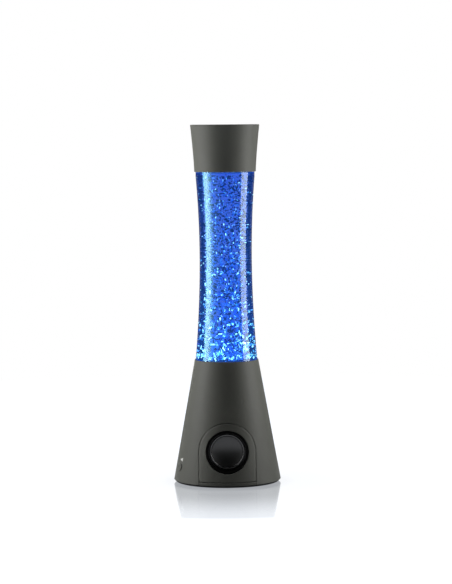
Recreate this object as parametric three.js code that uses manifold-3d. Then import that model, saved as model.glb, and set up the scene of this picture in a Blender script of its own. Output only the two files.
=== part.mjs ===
// Liquid motion lamp: an hourglass vessel of blue liquid between a conical base
// with a built-in speaker and a flared cap. Millimetres, +Z up. The origin is on
// the floor under the lamp's axis, and the speaker faces -Y.
import * as THREE from "three";
import { mergeVertices } from "three/addons/utils/BufferGeometryUtils.js";
import Module from "manifold-3d";

const wasm = await Module();
wasm.setup();

// Facets and clearances
const bodySides = 64;
const coverSides = 40;
const capSides = 40;
const vesselSides = 32;
const roundSides = 20;
const nutSides = 6;
const footSides = 16;
const smallSides = 8;
const outlineSteps = 18;
const waistSteps = 8;
const flareSteps = 6;
const cornerSteps = 3;
const weldDistance = 1e-4;
const fitGap = 0.3;
const overrun = 2;

// Conical base shell
const coneFootSpread = 6.1;
const coneFootHeight = 2.7;
const rimLip = 0.74;
const rimRound = 0.4;
const shellWall = 2.4;
const shelfThickness = 2.6;
const shelfHoleRadius = 24.5;

// Vessel, from its foot up
const vesselFootRadius = 31.86;
const vesselWaistRadius = 26.94;
const vesselTopRadius = 30.4;
const vesselSeatDepth = 8.7;
const flareAboveRim = 0.5;
const footToWaist = 115.2;
const waistToBand = 82.7;
const bandExposed = 5.1;
const bandHidden = 5.4;
const lowerFlarePower = 1.9;
const upperFlarePower = 2;
const vesselFootCorner = 3.9;
const vesselWall = 2.4;
const vesselFloor = 4;
const shoulderRadius = 8;
const shoulderRise = 3;
const neckRadius = 13;
const neckHeight = 14;
const airGap = 10.5;
const seatRingThickness = 2.2;
const seatRingWidth = 6.6;

// Stopper and closure of the vessel
const stopperDepth = 7;
const stopperFlange = 1.5;
const closureWall = 1.9;
const closureHeight = 14.5;

// Cap
const capFlare = 3.9;
const capHeight = 48.4;
const capWall = 1.1;
const capTopThickness = 2.2;
const capEdgeRound = 1.1;
const capEdgeAngle = 30;
const capFlarePower = 1.34;
const capFlangeThickness = 1.8;
const capFlangeShoulderGap = 1.1;
const capRingThickness = 2;

// Arched front panel
const archHalfWidth = 29.7;
const archSillHeight = 5.4;
const seamGap = 0.5;
const panelThickness = 1.6;
const ledgeThickness = 2.1;
const ledgeOverlap = 1.7;
const ledgeSkirt = 3;

// Speaker: heights along its own axis, out of the lamp, from its flange's face
const speakerHeight = 36.3;
const speakerSetback = 8.7;
const speakerHolderGap = 5.8;
const mouthRadius = 21.9;
const bezelWall = 2.2;
const bezelRecess = 0.4;
const flangeRadius = 22;
const flangeThickness = 1.5;
const flangeHoleRadius = 17.9;
const earCircleRadius = 24.4;
const earRadius = 2.4;
const earAngles = [0, 130, 230];
const earBossRadius = 2.2;
const earScrewDepth = 2.2;
const basketDepth = 11.4;
const basketWall = 1.2;
const basketRearRadius = 14.2;
const basketWindowAngles = [65, 180, 295];
const basketWindowWidth = 14;
const rollCentreRadius = 17.4;
const rollRadius = 1.45;
const rollWall = 0.5;
const rollLipWidth = 0.75;
const rollEdgeAngle = 20;
const dishRadius = 15.65;
const dishDepth = 4.2;
const dishThickness = 0.6;
const dishRimHeight = 0.6;
const coilRadius = 6.5;
const coilWall = 0.5;
const coilLength = 8.6;
const coilPlay = 0.4;
const spiderThickness = 0.4;
const spiderDepth = 8.6;
const topPlateRadius = 13.2;
const topPlateThickness = 2.3;
const magnetRadius = 14;
const magnetHoleRadius = 8.2;
const magnetThickness = 4.5;
const yokePlateThickness = 2.2;

// Bottom cover, its screws and feet
const coverClearance = 0.6;
const coverPlateThickness = 2.6;
const coverEdgeInset = 2.5;
const coverFlareInset = 0.4;
const spigotWall = 2;
const spigotRise = 2.2;
const lipThickness = 2.2;
const coverScrewAngles = [45, 135, 225, 315];
const screwCircleInset = 10.9;
const coverBossRadius = 4;
const coverBossHeight = 17;
const gussetThickness = 3;
const footAngles = [0, 90, 180, 270];
const footCircleInset = 11.4;
const footRadius = 5;
const footHeight = 1.8;
const ventAngles = [22.5, 67.5, 112.5, 157.5, 202.5, 247.5, 292.5, 337.5];
const ventInnerRadius = 12;
const ventOuterRadius = 34;
const ventWidth = 3;

// Screws: a pan head, a shank, and the hole that the shank passes
const screwHeadRadius = 2.6;
const screwHeadHeight = 1.6;
const screwRadius = 1.4;
const screwHoleRadius = 1.7;
const screwCrownShare = 0.7;
const coverScrewLength = 12;
const smallHeadRadius = 1.8;
const smallHeadHeight = 1.2;
const smallScrewRadius = 0.9;
const smallHoleRadius = 1.2;

// Lamp holder, its bracket and the reflector bulb
const postRadius = 3.6;
const bracketHeight = 18.2;
const bracketThickness = 1.5;
const bracketLength = 54;
const bracketWidth = 20;
const bracketEndMargin = 5;
const bracketScrewLength = 8;
const holderRadius = 13.5;
const holderHeight = 34;
const holderBoreRadius = 7.1;
const holderBoreDepth = 14;
const bulbCapRadius = 6.7;
const bulbCapLength = 15;
const bulbCapContactRadius = 2.5;
const bulbCapContactHeight = 2;
const bulbHeadRadius = 19.5;
const bulbHeadLength = 50;
const bulbWidestShare = 0.68;
const lightWellGap = 13;

// Reflector cone that hangs under the shelf
const reflectorHeight = 43.2;
const reflectorBottomRadius = 22.6;
const reflectorWall = 0.9;
const reflectorFlangeRadius = 30;
const reflectorFlangeThickness = 1.2;
const reflectorScrewRadius = 27.4;
const reflectorScrewAngles = [60, 180, 300];
const reflectorScrewLength = 3.4;

// Circuit board and what it carries
const boardWidth = 44;
const boardReflectorGap = 4;
const boardThickness = 1.6;
const boardSetback = 24;
const boardFloor = 14;
const boardBossRadius = 3;
const boardBossSpan = 30;
const boardBossRise = 20;
const boardScrewLength = 4.6;
const capacitorRadius = 4;
const capacitorLength = 10;
const capacitorSpacing = 28;
const capacitorDrop = 6;
const chipWidth = 11;
const chipThickness = 2;
const chipDrop = 24;

// Push button low on the left side, in its own frame: heights along the cone's normal
const buttonAzimuth = -67.5;
const buttonHeight = 17.7;
const buttonRadius = 3.75;
const buttonProud = 0.8;
const buttonRound = 0.4;
const buttonFlangeRadius = 4.9;
const buttonFlangeDepth = 3.3;
const buttonFlangeThickness = 1.1;
const buttonTravel = 1.2;
const plungerRadius = 1.7;
const plungerLength = 3.4;
const switchWidth = 6.2;
const switchHeight = 4;
const buttonBoardWidth = 22;
const buttonBoardHeight = 11;
const buttonPostSpacing = 18;
const buttonPostRadius = 1.7;

// Low-voltage inlet at the back
const inletAzimuth = 180;
const inletHeight = 16;
const inletFlangeRadius = 5.6;
const inletFlangeThickness = 1;
const inletBarrelRadius = 3.9;
const inletLength = 14;
const inletSocketRadius = 2.75;
const inletSocketDepth = 9;
const inletPinRadius = 1;
const inletNutRadius = 6.2;
const inletNutThickness = 2.2;

// Leads between the pieces inside the base
const leadRadius = 1.2;
const leadSides = 6;
const leadSteps = 14;

// Heights of the lamp inside the base, which set the height of the rim
const holderBottom = bracketHeight + bracketThickness + fitGap;
const holderTop = holderBottom + holderHeight;
const bulbBottom = holderTop - holderBoreDepth + fitGap;
const bulbHeadBottom = bulbBottom + bulbCapLength + fitGap;
const bulbTop = bulbHeadBottom + bulbHeadLength;
const coneRimHeight = bulbTop + lightWellGap + vesselSeatDepth;

// Depth of the speaker in front of the lamp holder, which sets the foot's radius
const plateDepth = basketDepth + fitGap;
const magnetDepth = plateDepth + topPlateThickness + fitGap;
const yokeDepth = magnetDepth + magnetThickness + fitGap;
const speakerDepth = yokeDepth + yokePlateThickness;
const frontRadius = holderRadius + speakerHolderGap + speakerDepth + speakerSetback;
const coneFootRadius = frontRadius + coneFootSpread;

// Sizes that follow from the ones above
const rimInnerRadius = vesselFootRadius + fitGap;
const coneRimRadius = rimInnerRadius + rimLip;
const coneSlope = (coneFootRadius - coneRimRadius) / (coneRimHeight - coneFootHeight);
const vesselBottom = coneRimHeight - vesselSeatDepth;
const flareStart = coneRimHeight + flareAboveRim;
const waistHeight = vesselBottom + footToWaist;
const bandHeight = waistHeight + waistToBand;
const capLipHeight = bandHeight + bandExposed;
const shoulderHeight = capLipHeight + bandHidden;
const neckStart = shoulderHeight + shoulderRadius + shoulderRise;
const neckTop = neckStart + neckHeight;
const capTop = capLipHeight + capHeight;
const capLipRadius = vesselTopRadius + fitGap + capWall;
const capFlangeHoleRadius = vesselTopRadius - shoulderRadius + capFlangeShoulderGap;
const seatRingTop = vesselBottom - fitGap;
const shelfTop = seatRingTop - seatRingThickness - fitGap;
const shelfBottom = shelfTop - shelfThickness;
const coverTop = coverClearance + coverPlateThickness;
const coverEdgeTop = coneFootHeight - fitGap;
const coverEdgeRadius = coneFootRadius - coverEdgeInset;
const coverFlareRadius = coneFootRadius - coverFlareInset;
const screwCircleRadius = coneFootRadius - screwCircleInset;
const footCircleRadius = coneFootRadius - footCircleInset;
const postSpacing = bracketLength - bracketEndMargin * 2;
const reflectorBottom = shelfBottom - reflectorHeight;
const boardTop = reflectorBottom - boardReflectorGap;
const speakerFace = speakerSetback - coneRadius(speakerHeight);

function coneRadius(height) {
  return coneFootRadius - coneSlope * (height - coneFootHeight);
}

function degrees(angle) {
  return THREE.MathUtils.degToRad(angle);
}

// Materials
function finish(color, roughness, metalness = 0) {
  return new THREE.MeshStandardMaterial({ color, roughness, metalness });
}

const housingGrey = finish(0x53544f, 0.55);
const bezelBlack = finish(0x0c0c0d, 0.7);
const rubberBlack = finish(0x1a1a1c, 0.6);
const dishBlack = finish(0x141416, 0.15);
const coverBlack = finish(0x1e1e1f, 0.6);
const clearGlass = finish(0xbfd4ff, 0.05);
const blueLiquid = finish(0x4080f5, 0.1);
const softWhite = finish(0xd8d8d2, 0.7);
const lampWhite = finish(0xe9e6dc, 0.35);
const brass = finish(0xb08d45, 0.35, 1);
const steel = finish(0xa3a5a8, 0.35, 1);
const aluminium = finish(0xc6c8ca, 0.4, 1);
const copperPaper = finish(0xa8683a, 0.6);
const ferrite = finish(0x2b2c2f, 0.8);
const boardGreen = finish(0x1f5c3a, 0.5);
const chipBlack = finish(0x18181a, 0.5);
const wireBlack = finish(0x202022, 0.6);

// A closed geometry as a solid that can be joined and cut
function solid(geometry) {
  const bare = geometry.index ? geometry.toNonIndexed() : geometry.clone();
  bare.deleteAttribute("normal");
  bare.deleteAttribute("uv");
  const merged = mergeVertices(bare, weldDistance);
  const found = merged.index.array;
  const corners = [];
  for (let i = 0; i < found.length; i += 3) {
    const [a, b, c] = [found[i], found[i + 1], found[i + 2]];
    if (a !== b && b !== c && c !== a) corners.push(a, b, c);
  }
  const vertProperties = merged.attributes.position.array;
  const triVerts = new Uint32Array(corners);
  return new wasm.Manifold(new wasm.Mesh({ numProp: 3, vertProperties, triVerts }));
}

function join(first, ...others) {
  return others.reduce((sum, other) => sum.add(other), first);
}

function cut(first, ...others) {
  return others.reduce((rest, other) => rest.subtract(other), first);
}

// A named mesh of a solid
function piece(name, shape, material) {
  const { numProp, numVert, vertProperties, triVerts } = shape.getMesh();
  const positions = new Float32Array(numVert * 3);
  for (let i = 0; i < numVert; i++) {
    positions.set(vertProperties.subarray(i * numProp, i * numProp + 3), i * 3);
  }
  const geometry = new THREE.BufferGeometry()
    .setAttribute("position", new THREE.BufferAttribute(positions, 3))
    .setIndex(new THREE.BufferAttribute(triVerts, 1));
  geometry.computeVertexNormals();
  const mesh = new THREE.Mesh(geometry, material);
  mesh.name = name;
  return mesh;
}

function group(frame, ...children) {
  const holder = new THREE.Group();
  holder.applyMatrix4(frame);
  holder.add(...children);
  return holder;
}

// A profile of [radius, height] pairs turned about the Z axis
function turned(profile, sides) {
  const points = profile.map(([radius, height]) => new THREE.Vector2(radius, height));
  return new THREE.LatheGeometry(points, sides).rotateX(Math.PI / 2);
}

function turnedSolid(profile, sides = roundSides) {
  return solid(turned(profile, sides));
}

function rodProfile(radius, low, high) {
  return [[0, low], [radius, low], [radius, high], [0, high]];
}

function rod(radius, low, high, sides = roundSides) {
  return turnedSolid(rodProfile(radius, low, high), sides);
}

function ring(inner, outer, low, high, sides = roundSides) {
  return turnedSolid([[inner, low], [outer, low], [outer, high], [inner, high], [inner, low]], sides);
}

function block(width, depth, low, high) {
  const centre = (low + high) / 2;
  return solid(new THREE.BoxGeometry(width, depth, high - low).translate(0, 0, centre));
}

// Points of an arc in a profile, from one angle to the other
function arc(radius, height, size, from, to, steps) {
  return Array.from({ length: steps + 1 }, (_, i) => {
    const angle = degrees(from + ((to - from) * i) / steps);
    return [radius + size * Math.cos(angle), height + size * Math.sin(angle)];
  });
}

function moved(shape, frame) {
  return shape.transform(frame.elements);
}

// A frame at a point, with its Z axis along one of the lamp's axes
function frameAlong(point, axis) {
  const up = new THREE.Vector3(0, 0, 1);
  const turn = new THREE.Quaternion().setFromUnitVectors(up, new THREE.Vector3(...axis));
  return new THREE.Matrix4().compose(new THREE.Vector3(...point), turn, new THREE.Vector3(1, 1, 1));
}

function shift(x, y, z) {
  return new THREE.Matrix4().makeTranslation(x, y, z);
}

// A place at an azimuth round the lamp's axis, counted from the front towards +X
function around(azimuth, radius, height = 0) {
  const angle = degrees(azimuth);
  return new THREE.Vector3(radius * Math.sin(angle), -radius * Math.cos(angle), height);
}

function aroundFrame(azimuth, radius, height = 0) {
  const { x, y, z } = around(azimuth, radius, height);
  return shift(x, y, z).multiply(new THREE.Matrix4().makeRotationZ(degrees(azimuth)));
}

// A frame on the cone's surface. Z runs along its normal, and Y stays upright.
function coneFrame(azimuth, height) {
  const tilt = Math.atan(coneSlope);
  return aroundFrame(azimuth, coneRadius(height), height)
    .multiply(new THREE.Matrix4().makeRotationX(Math.PI / 2 - tilt));
}

// Space inside the cone, set in from its surface
function coneInterior(inset) {
  const low = -overrun;
  const high = coneRimHeight + overrun;
  return turnedSolid(
    [[0, low], [coneRadius(low) - inset, low], [coneRadius(high) - inset, high], [0, high]],
    bodySides,
  );
}

function coneBand(outerInset, innerInset) {
  return cut(coneInterior(outerInset), coneInterior(innerInset));
}

// Arch outline, drawn in or out from the edge of the opening, run through the front
function archPrism(inset, sill = archSillHeight + inset) {
  const half = archHalfWidth - inset;
  const shape = new THREE.Shape();
  shape.moveTo(-half, sill);
  shape.lineTo(half, sill);
  shape.lineTo(half, speakerHeight);
  shape.absarc(0, speakerHeight, half, 0, Math.PI);
  shape.closePath();
  const depth = coneFootRadius + overrun;
  const geometry = new THREE.ExtrudeGeometry(shape, {
    depth,
    curveSegments: outlineSteps,
    bevelEnabled: false,
  });
  return solid(geometry.rotateX(Math.PI / 2));
}

// Frames of the sub-assemblies
const world = new THREE.Matrix4();
const speakerFrame = frameAlong([0, speakerFace, speakerHeight], [0, -1, 0]);
const buttonFrame = coneFrame(buttonAzimuth, buttonHeight);
const inletFrame = coneFrame(inletAzimuth, inletHeight);
const wallAlongNormal = shellWall * Math.cos(Math.atan(coneSlope));

// Places of the circuit board's two bosses, as [x, z]
const boardBosses = [-1, 1].map((side) => [
  (side * boardBossSpan) / 2,
  (boardFloor + boardTop + side * boardBossRise) / 2,
]);

function boardFrame(x, z) {
  return frameAlong([x, boardSetback + boardThickness, z], [0, 1, 0]);
}

// Shell of the base

function shellWalls() {
  return turnedSolid([
    [coneRadius(coneFootHeight) - shellWall, coneFootHeight],
    [coneFootRadius, coneFootHeight],
    [coneRadius(coneRimHeight - rimRound), coneRimHeight - rimRound],
    [coneRimRadius - rimRound, coneRimHeight],
    [rimInnerRadius, coneRimHeight],
    [rimInnerRadius, shelfTop],
    [shelfHoleRadius, shelfTop],
    [shelfHoleRadius, shelfBottom],
    [coneRadius(shelfBottom) - shellWall, shelfBottom],
    [coneRadius(coneFootHeight) - shellWall, coneFootHeight],
  ], bodySides);
}

// The opening takes the panel. A ledge behind its edge carries the panel.
function withArchOpening(walls) {
  const recess = panelThickness + fitGap;
  const slot = archPrism(0, -overrun);
  const frameTop = recess + ledgeThickness;
  const sill = coverTop + spigotRise + fitGap * 2;
  const surround = archPrism(-ledgeSkirt, sill);
  const window = archPrism(seamGap + ledgeOverlap);
  const ledge = coneBand(recess, frameTop).intersect(surround);
  return cut(join(cut(walls, slot), ledge), window);
}

function coverBoss(azimuth) {
  const low = coverTop + fitGap;
  const high = low + coverBossHeight;
  const boss = rod(coverBossRadius, low, high, smallSides);
  const reach = coneRadius(high) - shellWall / 2 - screwCircleRadius;
  const web = moved(
    block(gussetThickness, reach, coverTop + spigotRise + fitGap * 2, high),
    shift(0, -reach / 2, 0),
  );
  return moved(join(boss, web), aroundFrame(azimuth, screwCircleRadius));
}

function coverPilotHole(azimuth) {
  const low = coverTop;
  return moved(
    rod(screwHoleRadius, low, low + coverScrewLength, smallSides),
    aroundFrame(azimuth, screwCircleRadius),
  );
}

function boardBoss([x, z]) {
  const reach = coneFootRadius - boardSetback;
  const boss = moved(rod(boardBossRadius, fitGap, reach, smallSides), boardFrame(x, z));
  const hole = moved(rod(smallHoleRadius, 0, boardScrewLength, smallSides), boardFrame(x, z));
  return cut(boss.intersect(coneInterior(shellWall / 2)), hole);
}

function buttonPost(side) {
  const low = buttonBoardDepth() + fitGap;
  const post = rod(buttonPostRadius, low, overrun, smallSides);
  const place = shift((side * buttonPostSpacing) / 2, 0, 0);
  return moved(post, buttonFrame.clone().multiply(place)).intersect(coneInterior(shellWall / 2));
}

function throughWall(frame, radius) {
  return moved(rod(radius, -shellWall - overrun, overrun, roundSides), frame);
}

function baseShell() {
  const fixings = [
    ...coverScrewAngles.map(coverBoss),
    ...boardBosses.map(boardBoss),
    buttonPost(-1),
    buttonPost(1),
  ];
  const holes = [
    ...coverScrewAngles.map(coverPilotHole),
    ...reflectorScrewAngles.map((angle) => moved(
      rod(screwHoleRadius, shelfBottom - overrun, shelfTop + overrun, smallSides),
      aroundFrame(angle, reflectorScrewRadius),
    )),
    throughWall(buttonFrame, buttonRadius + fitGap),
    throughWall(inletFrame, inletBarrelRadius + fitGap),
  ];
  return cut(join(withArchOpening(shellWalls()), ...fixings), ...holes);
}

// Front panel with its mouth and the speaker's screw bosses

function earPlace(angle) {
  const turn = degrees(angle);
  return shift(earCircleRadius * Math.sin(turn), earCircleRadius * Math.cos(turn), 0);
}

function earFrame(angle) {
  return speakerFrame.clone().multiply(earPlace(angle));
}

function frontPanel() {
  const reach = coneFootRadius;
  const sheet = coneBand(0, panelThickness).intersect(archPrism(seamGap));
  const inside = coneInterior(panelThickness / 2);
  const bosses = earAngles.map((angle) =>
    moved(rod(earBossRadius, fitGap, reach, smallSides), earFrame(angle)).intersect(inside));
  const holes = earAngles.map((angle) =>
    moved(rod(smallHoleRadius, 0, earScrewDepth + fitGap, smallSides), earFrame(angle)));
  const mouth = moved(rod(mouthRadius, -overrun, reach), speakerFrame);
  return cut(join(cut(sheet, mouth), ...bosses), ...holes);
}

// Speaker

function bezel() {
  const outer = mouthRadius - fitGap;
  const tube = ring(outer - bezelWall, outer, fitGap, coneFootRadius);
  return moved(tube, speakerFrame).intersect(coneInterior(bezelRecess));
}

function basketInner(depth) {
  const rear = basketRearRadius - basketWall;
  const front = flangeRadius - basketWall * 2;
  const share = (basketDepth - basketWall - depth) / (basketDepth - basketWall - flangeThickness);
  return rear + (front - rear) * share;
}

function basket() {
  const floor = -basketDepth;
  const topHole = coilRadius + coilPlay;
  const frame = turnedSolid([
    [topHole, floor],
    [basketRearRadius, floor],
    [flangeRadius - basketWall, -flangeThickness],
    [flangeRadius, -flangeThickness],
    [flangeRadius, 0],
    [flangeHoleRadius, 0],
    [flangeHoleRadius, -flangeThickness / 2],
    [basketInner(flangeThickness), -flangeThickness],
    [basketInner(basketDepth - basketWall), floor + basketWall],
    [topHole, floor + basketWall],
    [topHole, floor],
  ]);
  const ears = earAngles.map((angle) => {
    const turn = new THREE.Matrix4().makeRotationZ(-degrees(angle));
    const arm = moved(
      block(earRadius * 2, earRadius * 2, -flangeThickness, 0),
      turn.clone().multiply(shift(0, earCircleRadius - earRadius, 0)),
    );
    return join(arm, moved(rod(earRadius, -flangeThickness, 0, roundSides), earPlace(angle)));
  });
  const holes = earAngles.map((angle) =>
    moved(rod(smallHoleRadius, -flangeThickness - overrun, overrun, smallSides), earPlace(angle)));
  const windowLow = floor + basketWall * 2;
  const windowHigh = -flangeThickness - basketWall;
  const windows = basketWindowAngles.map((angle) => {
    const turn = new THREE.Matrix4().makeRotationZ(-degrees(angle));
    const reach = flangeRadius - coilRadius * 2;
    const place = turn.multiply(shift(0, flangeRadius - reach / 2, 0));
    return moved(block(basketWindowWidth, reach, windowLow, windowHigh), place);
  });
  return cut(join(frame, ...ears), ...holes, ...windows);
}

// A half roll of rubber with a flat lip, which lies on the flange
function surround() {
  const base = fitGap;
  const inner = rollRadius - rollWall;
  const lip = rollCentreRadius + inner + rollLipWidth;
  return turnedSolid([
    ...arc(rollCentreRadius, base, inner, 180, 0, flareSteps),
    [lip, base],
    [lip, base + rollWall],
    ...arc(rollCentreRadius, base, rollRadius, rollEdgeAngle, 180, flareSteps),
    [rollCentreRadius - inner, base],
  ]);
}

// The dish is a shallow bowl of one curvature
function dishHeight(radius) {
  const curve = (dishRadius ** 2 + dishDepth ** 2) / (2 * dishDepth);
  return dishRimHeight - dishDepth + curve - Math.sqrt(curve ** 2 - radius ** 2);
}

function dish() {
  const stations = Array.from({ length: flareSteps + 1 }, (_, i) => (dishRadius * i) / flareSteps);
  const back = stations.map((radius) => [radius, dishHeight(radius) - dishThickness]);
  const front = stations.map((radius) => [radius, dishHeight(radius)]).reverse();
  return turnedSolid([...back, ...front]);
}

function voiceCoil() {
  const top = dishHeight(coilRadius - coilWall) - dishThickness - fitGap;
  return ring(coilRadius - coilWall, coilRadius, top - coilLength, top);
}

function spider() {
  const low = -spiderDepth;
  const outer = basketInner(spiderDepth) - fitGap;
  return ring(coilRadius + coilPlay, outer, low, low + spiderThickness);
}

function speaker() {
  const [plateTop, magnetTop, yokeTop] = [-plateDepth, -magnetDepth, -yokeDepth];
  const poleRadius = coilRadius - coilWall - coilPlay;
  const pole = rod(poleRadius, yokeTop - yokePlateThickness / 2, plateTop);
  const yoke = join(rod(topPlateRadius, yokeTop - yokePlateThickness, yokeTop), pole);
  const screws = earAngles.map((angle, i) => {
    const head = -flangeThickness - fitGap;
    const screw = smallScrew(head, earScrewDepth - head);
    return piece(`speaker_screw_${i + 1}`, moved(screw, earPlace(angle)), steel);
  });
  return group(
    speakerFrame,
    piece("speaker_basket", basket(), chipBlack),
    piece("speaker_surround", surround(), rubberBlack),
    piece("speaker_dish", dish(), dishBlack),
    piece("voice_coil", voiceCoil(), copperPaper),
    piece("speaker_spider", spider(), copperPaper),
    piece("speaker_top_plate",
      ring(coilRadius + coilPlay, topPlateRadius, plateTop - topPlateThickness, plateTop), steel),
    piece("speaker_magnet",
      ring(magnetHoleRadius, magnetRadius, magnetTop - magnetThickness, magnetTop), ferrite),
    piece("speaker_yoke", yoke, steel),
    ...screws,
  );
}

// Screws, with the shank up from the head's face

function panScrew(headRadius, headHeight, radius, face, length) {
  return turnedSolid([
    [0, face - headHeight],
    [headRadius * screwCrownShare, face - headHeight],
    [headRadius, face - headHeight / 2],
    [headRadius, face],
    [radius, face],
    [radius, face + length],
    [0, face + length],
  ], smallSides);
}

function largeScrew(face, length) {
  return panScrew(screwHeadRadius, screwHeadHeight, screwRadius, face, length);
}

function smallScrew(face, length) {
  return panScrew(smallHeadRadius, smallHeadHeight, smallScrewRadius, face, length);
}

// Bottom cover: plate, spigot inside the shell, front lip under the panel, bracket posts

function coverPlate() {
  const spigotTop = coverTop + spigotRise;
  const spigotRadius = coneRadius(spigotTop) - shellWall - fitGap;
  return turnedSolid([
    [0, coverClearance],
    [coverEdgeRadius, coverClearance],
    [coverFlareRadius, coverEdgeTop],
    [spigotRadius, coverEdgeTop],
    [spigotRadius, spigotTop],
    [spigotRadius - spigotWall, spigotTop],
    [spigotRadius - spigotWall, coverTop],
    [0, coverTop],
  ], coverSides);
}

function frontLip() {
  const high = archSillHeight + seamGap - fitGap;
  const width = (archHalfWidth - fitGap) * 2;
  const slot = moved(block(width, coneFootRadius, coverEdgeTop - seamGap, high),
    shift(0, -coneFootRadius / 2, 0));
  const low = coneRadius(coverEdgeTop);
  const band = turnedSolid([
    [low - lipThickness, coverEdgeTop - seamGap],
    [coverFlareRadius - seamGap, coverEdgeTop - seamGap],
    [low, coneFootHeight],
    [coneRadius(high), high],
    [low - lipThickness, high],
    [low - lipThickness, coverEdgeTop - seamGap],
  ], bodySides);
  return band.intersect(slot);
}

function vent(azimuth) {
  const length = ventOuterRadius - ventInnerRadius;
  const middle = (ventOuterRadius + ventInnerRadius) / 2;
  return moved(
    block(ventWidth, length, coverClearance - overrun, coverTop + overrun),
    aroundFrame(azimuth, middle),
  );
}

function bottomCover() {
  const recess = screwHeadHeight + fitGap;
  const posts = [-1, 1].map((side) => moved(
    rod(postRadius, coverTop - overrun / 2, bracketHeight - fitGap, smallSides),
    shift((side * postSpacing) / 2, 0, 0),
  ));
  const postHoles = [-1, 1].map((side) => moved(
    rod(screwHoleRadius, bracketHeight - bracketScrewLength, bracketHeight, smallSides),
    shift((side * postSpacing) / 2, 0, 0),
  ));
  const feet = footAngles.map((angle) => moved(
    rod(footRadius + fitGap, 0, footHeight + fitGap, footSides),
    aroundFrame(angle, footCircleRadius),
  ));
  const counterbores = coverScrewAngles.map((angle) => moved(
    rod(screwHeadRadius + fitGap, 0, coverClearance + recess, smallSides),
    aroundFrame(angle, screwCircleRadius),
  ));
  const screwHoles = coverScrewAngles.map((angle) => moved(
    rod(screwHoleRadius, 0, coverTop + overrun, smallSides),
    aroundFrame(angle, screwCircleRadius),
  ));
  const whole = join(coverPlate(), frontLip(), ...posts);
  return cut(whole, ...postHoles, ...feet, ...counterbores, ...screwHoles, ...ventAngles.map(vent));
}

function coverFixings() {
  const face = coverClearance + screwHeadHeight;
  const screws = coverScrewAngles.map((angle, i) => piece(
    `cover_screw_${i + 1}`,
    moved(largeScrew(face, coverScrewLength - fitGap), aroundFrame(angle, screwCircleRadius)),
    steel,
  ));
  const feet = footAngles.map((angle, i) => piece(
    `foot_${i + 1}`,
    moved(rod(footRadius, 0, footHeight, footSides), aroundFrame(angle, footCircleRadius)),
    rubberBlack,
  ));
  return [...screws, ...feet];
}

// Lamp holder, bulb and reflector

function holderBracket() {
  const plate = block(bracketLength, bracketWidth, bracketHeight, bracketHeight + bracketThickness);
  const holes = [-1, 1].map((side) => moved(
    rod(screwHoleRadius, 0, bracketHeight + bracketThickness + overrun, smallSides),
    shift((side * postSpacing) / 2, 0, 0),
  ));
  return cut(plate, ...holes);
}

function bracketScrew(side) {
  const face = bracketHeight + bracketThickness + fitGap;
  const flip = frameAlong([(side * postSpacing) / 2, 0, face], [0, 0, -1]);
  return moved(largeScrew(0, bracketScrewLength), flip);
}

function bulbHead(low) {
  const neck = bulbCapRadius;
  const widest = low + bulbHeadLength * bulbWidestShare;
  const rise = bulbHeadLength * (1 - bulbWidestShare);
  const flare = Array.from({ length: cornerSteps + 1 }, (_, i) => {
    const share = i / (cornerSteps + 1);
    const ease = share * share * (3 - 2 * share);
    return [neck + (bulbHeadRadius - neck) * ease, low + (widest - low) * share];
  });
  const dome = Array.from({ length: flareSteps + 1 }, (_, i) => {
    const angle = degrees((90 * i) / flareSteps);
    return [bulbHeadRadius * Math.cos(angle), widest + rise * Math.sin(angle)];
  });
  dome[flareSteps][0] = 0;
  return turnedSolid([[0, low], ...flare, ...dome]);
}

function bulbBase(low) {
  const contactTop = low + bulbCapContactHeight;
  return turnedSolid([
    [0, low],
    [bulbCapContactRadius, low],
    [bulbCapContactRadius, contactTop],
    [bulbCapRadius, contactTop + bulbCapContactHeight],
    [bulbCapRadius, low + bulbCapLength],
    [0, low + bulbCapLength],
  ], roundSides);
}

function lampParts() {
  const holder = cut(
    rod(holderRadius, holderBottom, holderTop),
    rod(holderBoreRadius, holderTop - holderBoreDepth, holderTop + overrun),
  );
  return [
    piece("holder_bracket", holderBracket(), steel),
    piece("bracket_screw_1", bracketScrew(-1), steel),
    piece("bracket_screw_2", bracketScrew(1), steel),
    piece("lamp_holder", holder, lampWhite),
    piece("bulb_base", bulbBase(bulbBottom), brass),
    piece("bulb_envelope", bulbHead(bulbHeadBottom), lampWhite),
  ];
}

function reflector() {
  const flangeTop = shelfBottom - fitGap;
  const flangeLow = flangeTop - reflectorFlangeThickness;
  const cone = turnedSolid([
    [reflectorBottomRadius, reflectorBottom],
    [reflectorBottomRadius + reflectorWall, reflectorBottom],
    [shelfHoleRadius + reflectorWall, flangeLow],
    [reflectorFlangeRadius, flangeLow],
    [reflectorFlangeRadius, flangeTop],
    [shelfHoleRadius, flangeTop],
    [reflectorBottomRadius, reflectorBottom],
  ]);
  const holes = reflectorScrewAngles.map((angle) => moved(
    rod(screwHoleRadius, flangeLow - overrun, flangeTop + overrun, smallSides),
    aroundFrame(angle, reflectorScrewRadius),
  ));
  return cut(cone, ...holes);
}

function reflectorParts() {
  const face = shelfBottom - fitGap * 2 - reflectorFlangeThickness;
  const screws = reflectorScrewAngles.map((angle, i) => piece(
    `reflector_screw_${i + 1}`,
    moved(smallScrew(face, reflectorScrewLength), aroundFrame(angle, reflectorScrewRadius)),
    steel,
  ));
  return [piece("reflector_cone", reflector(), aluminium), ...screws];
}

// Circuit board, its components and screws

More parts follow.
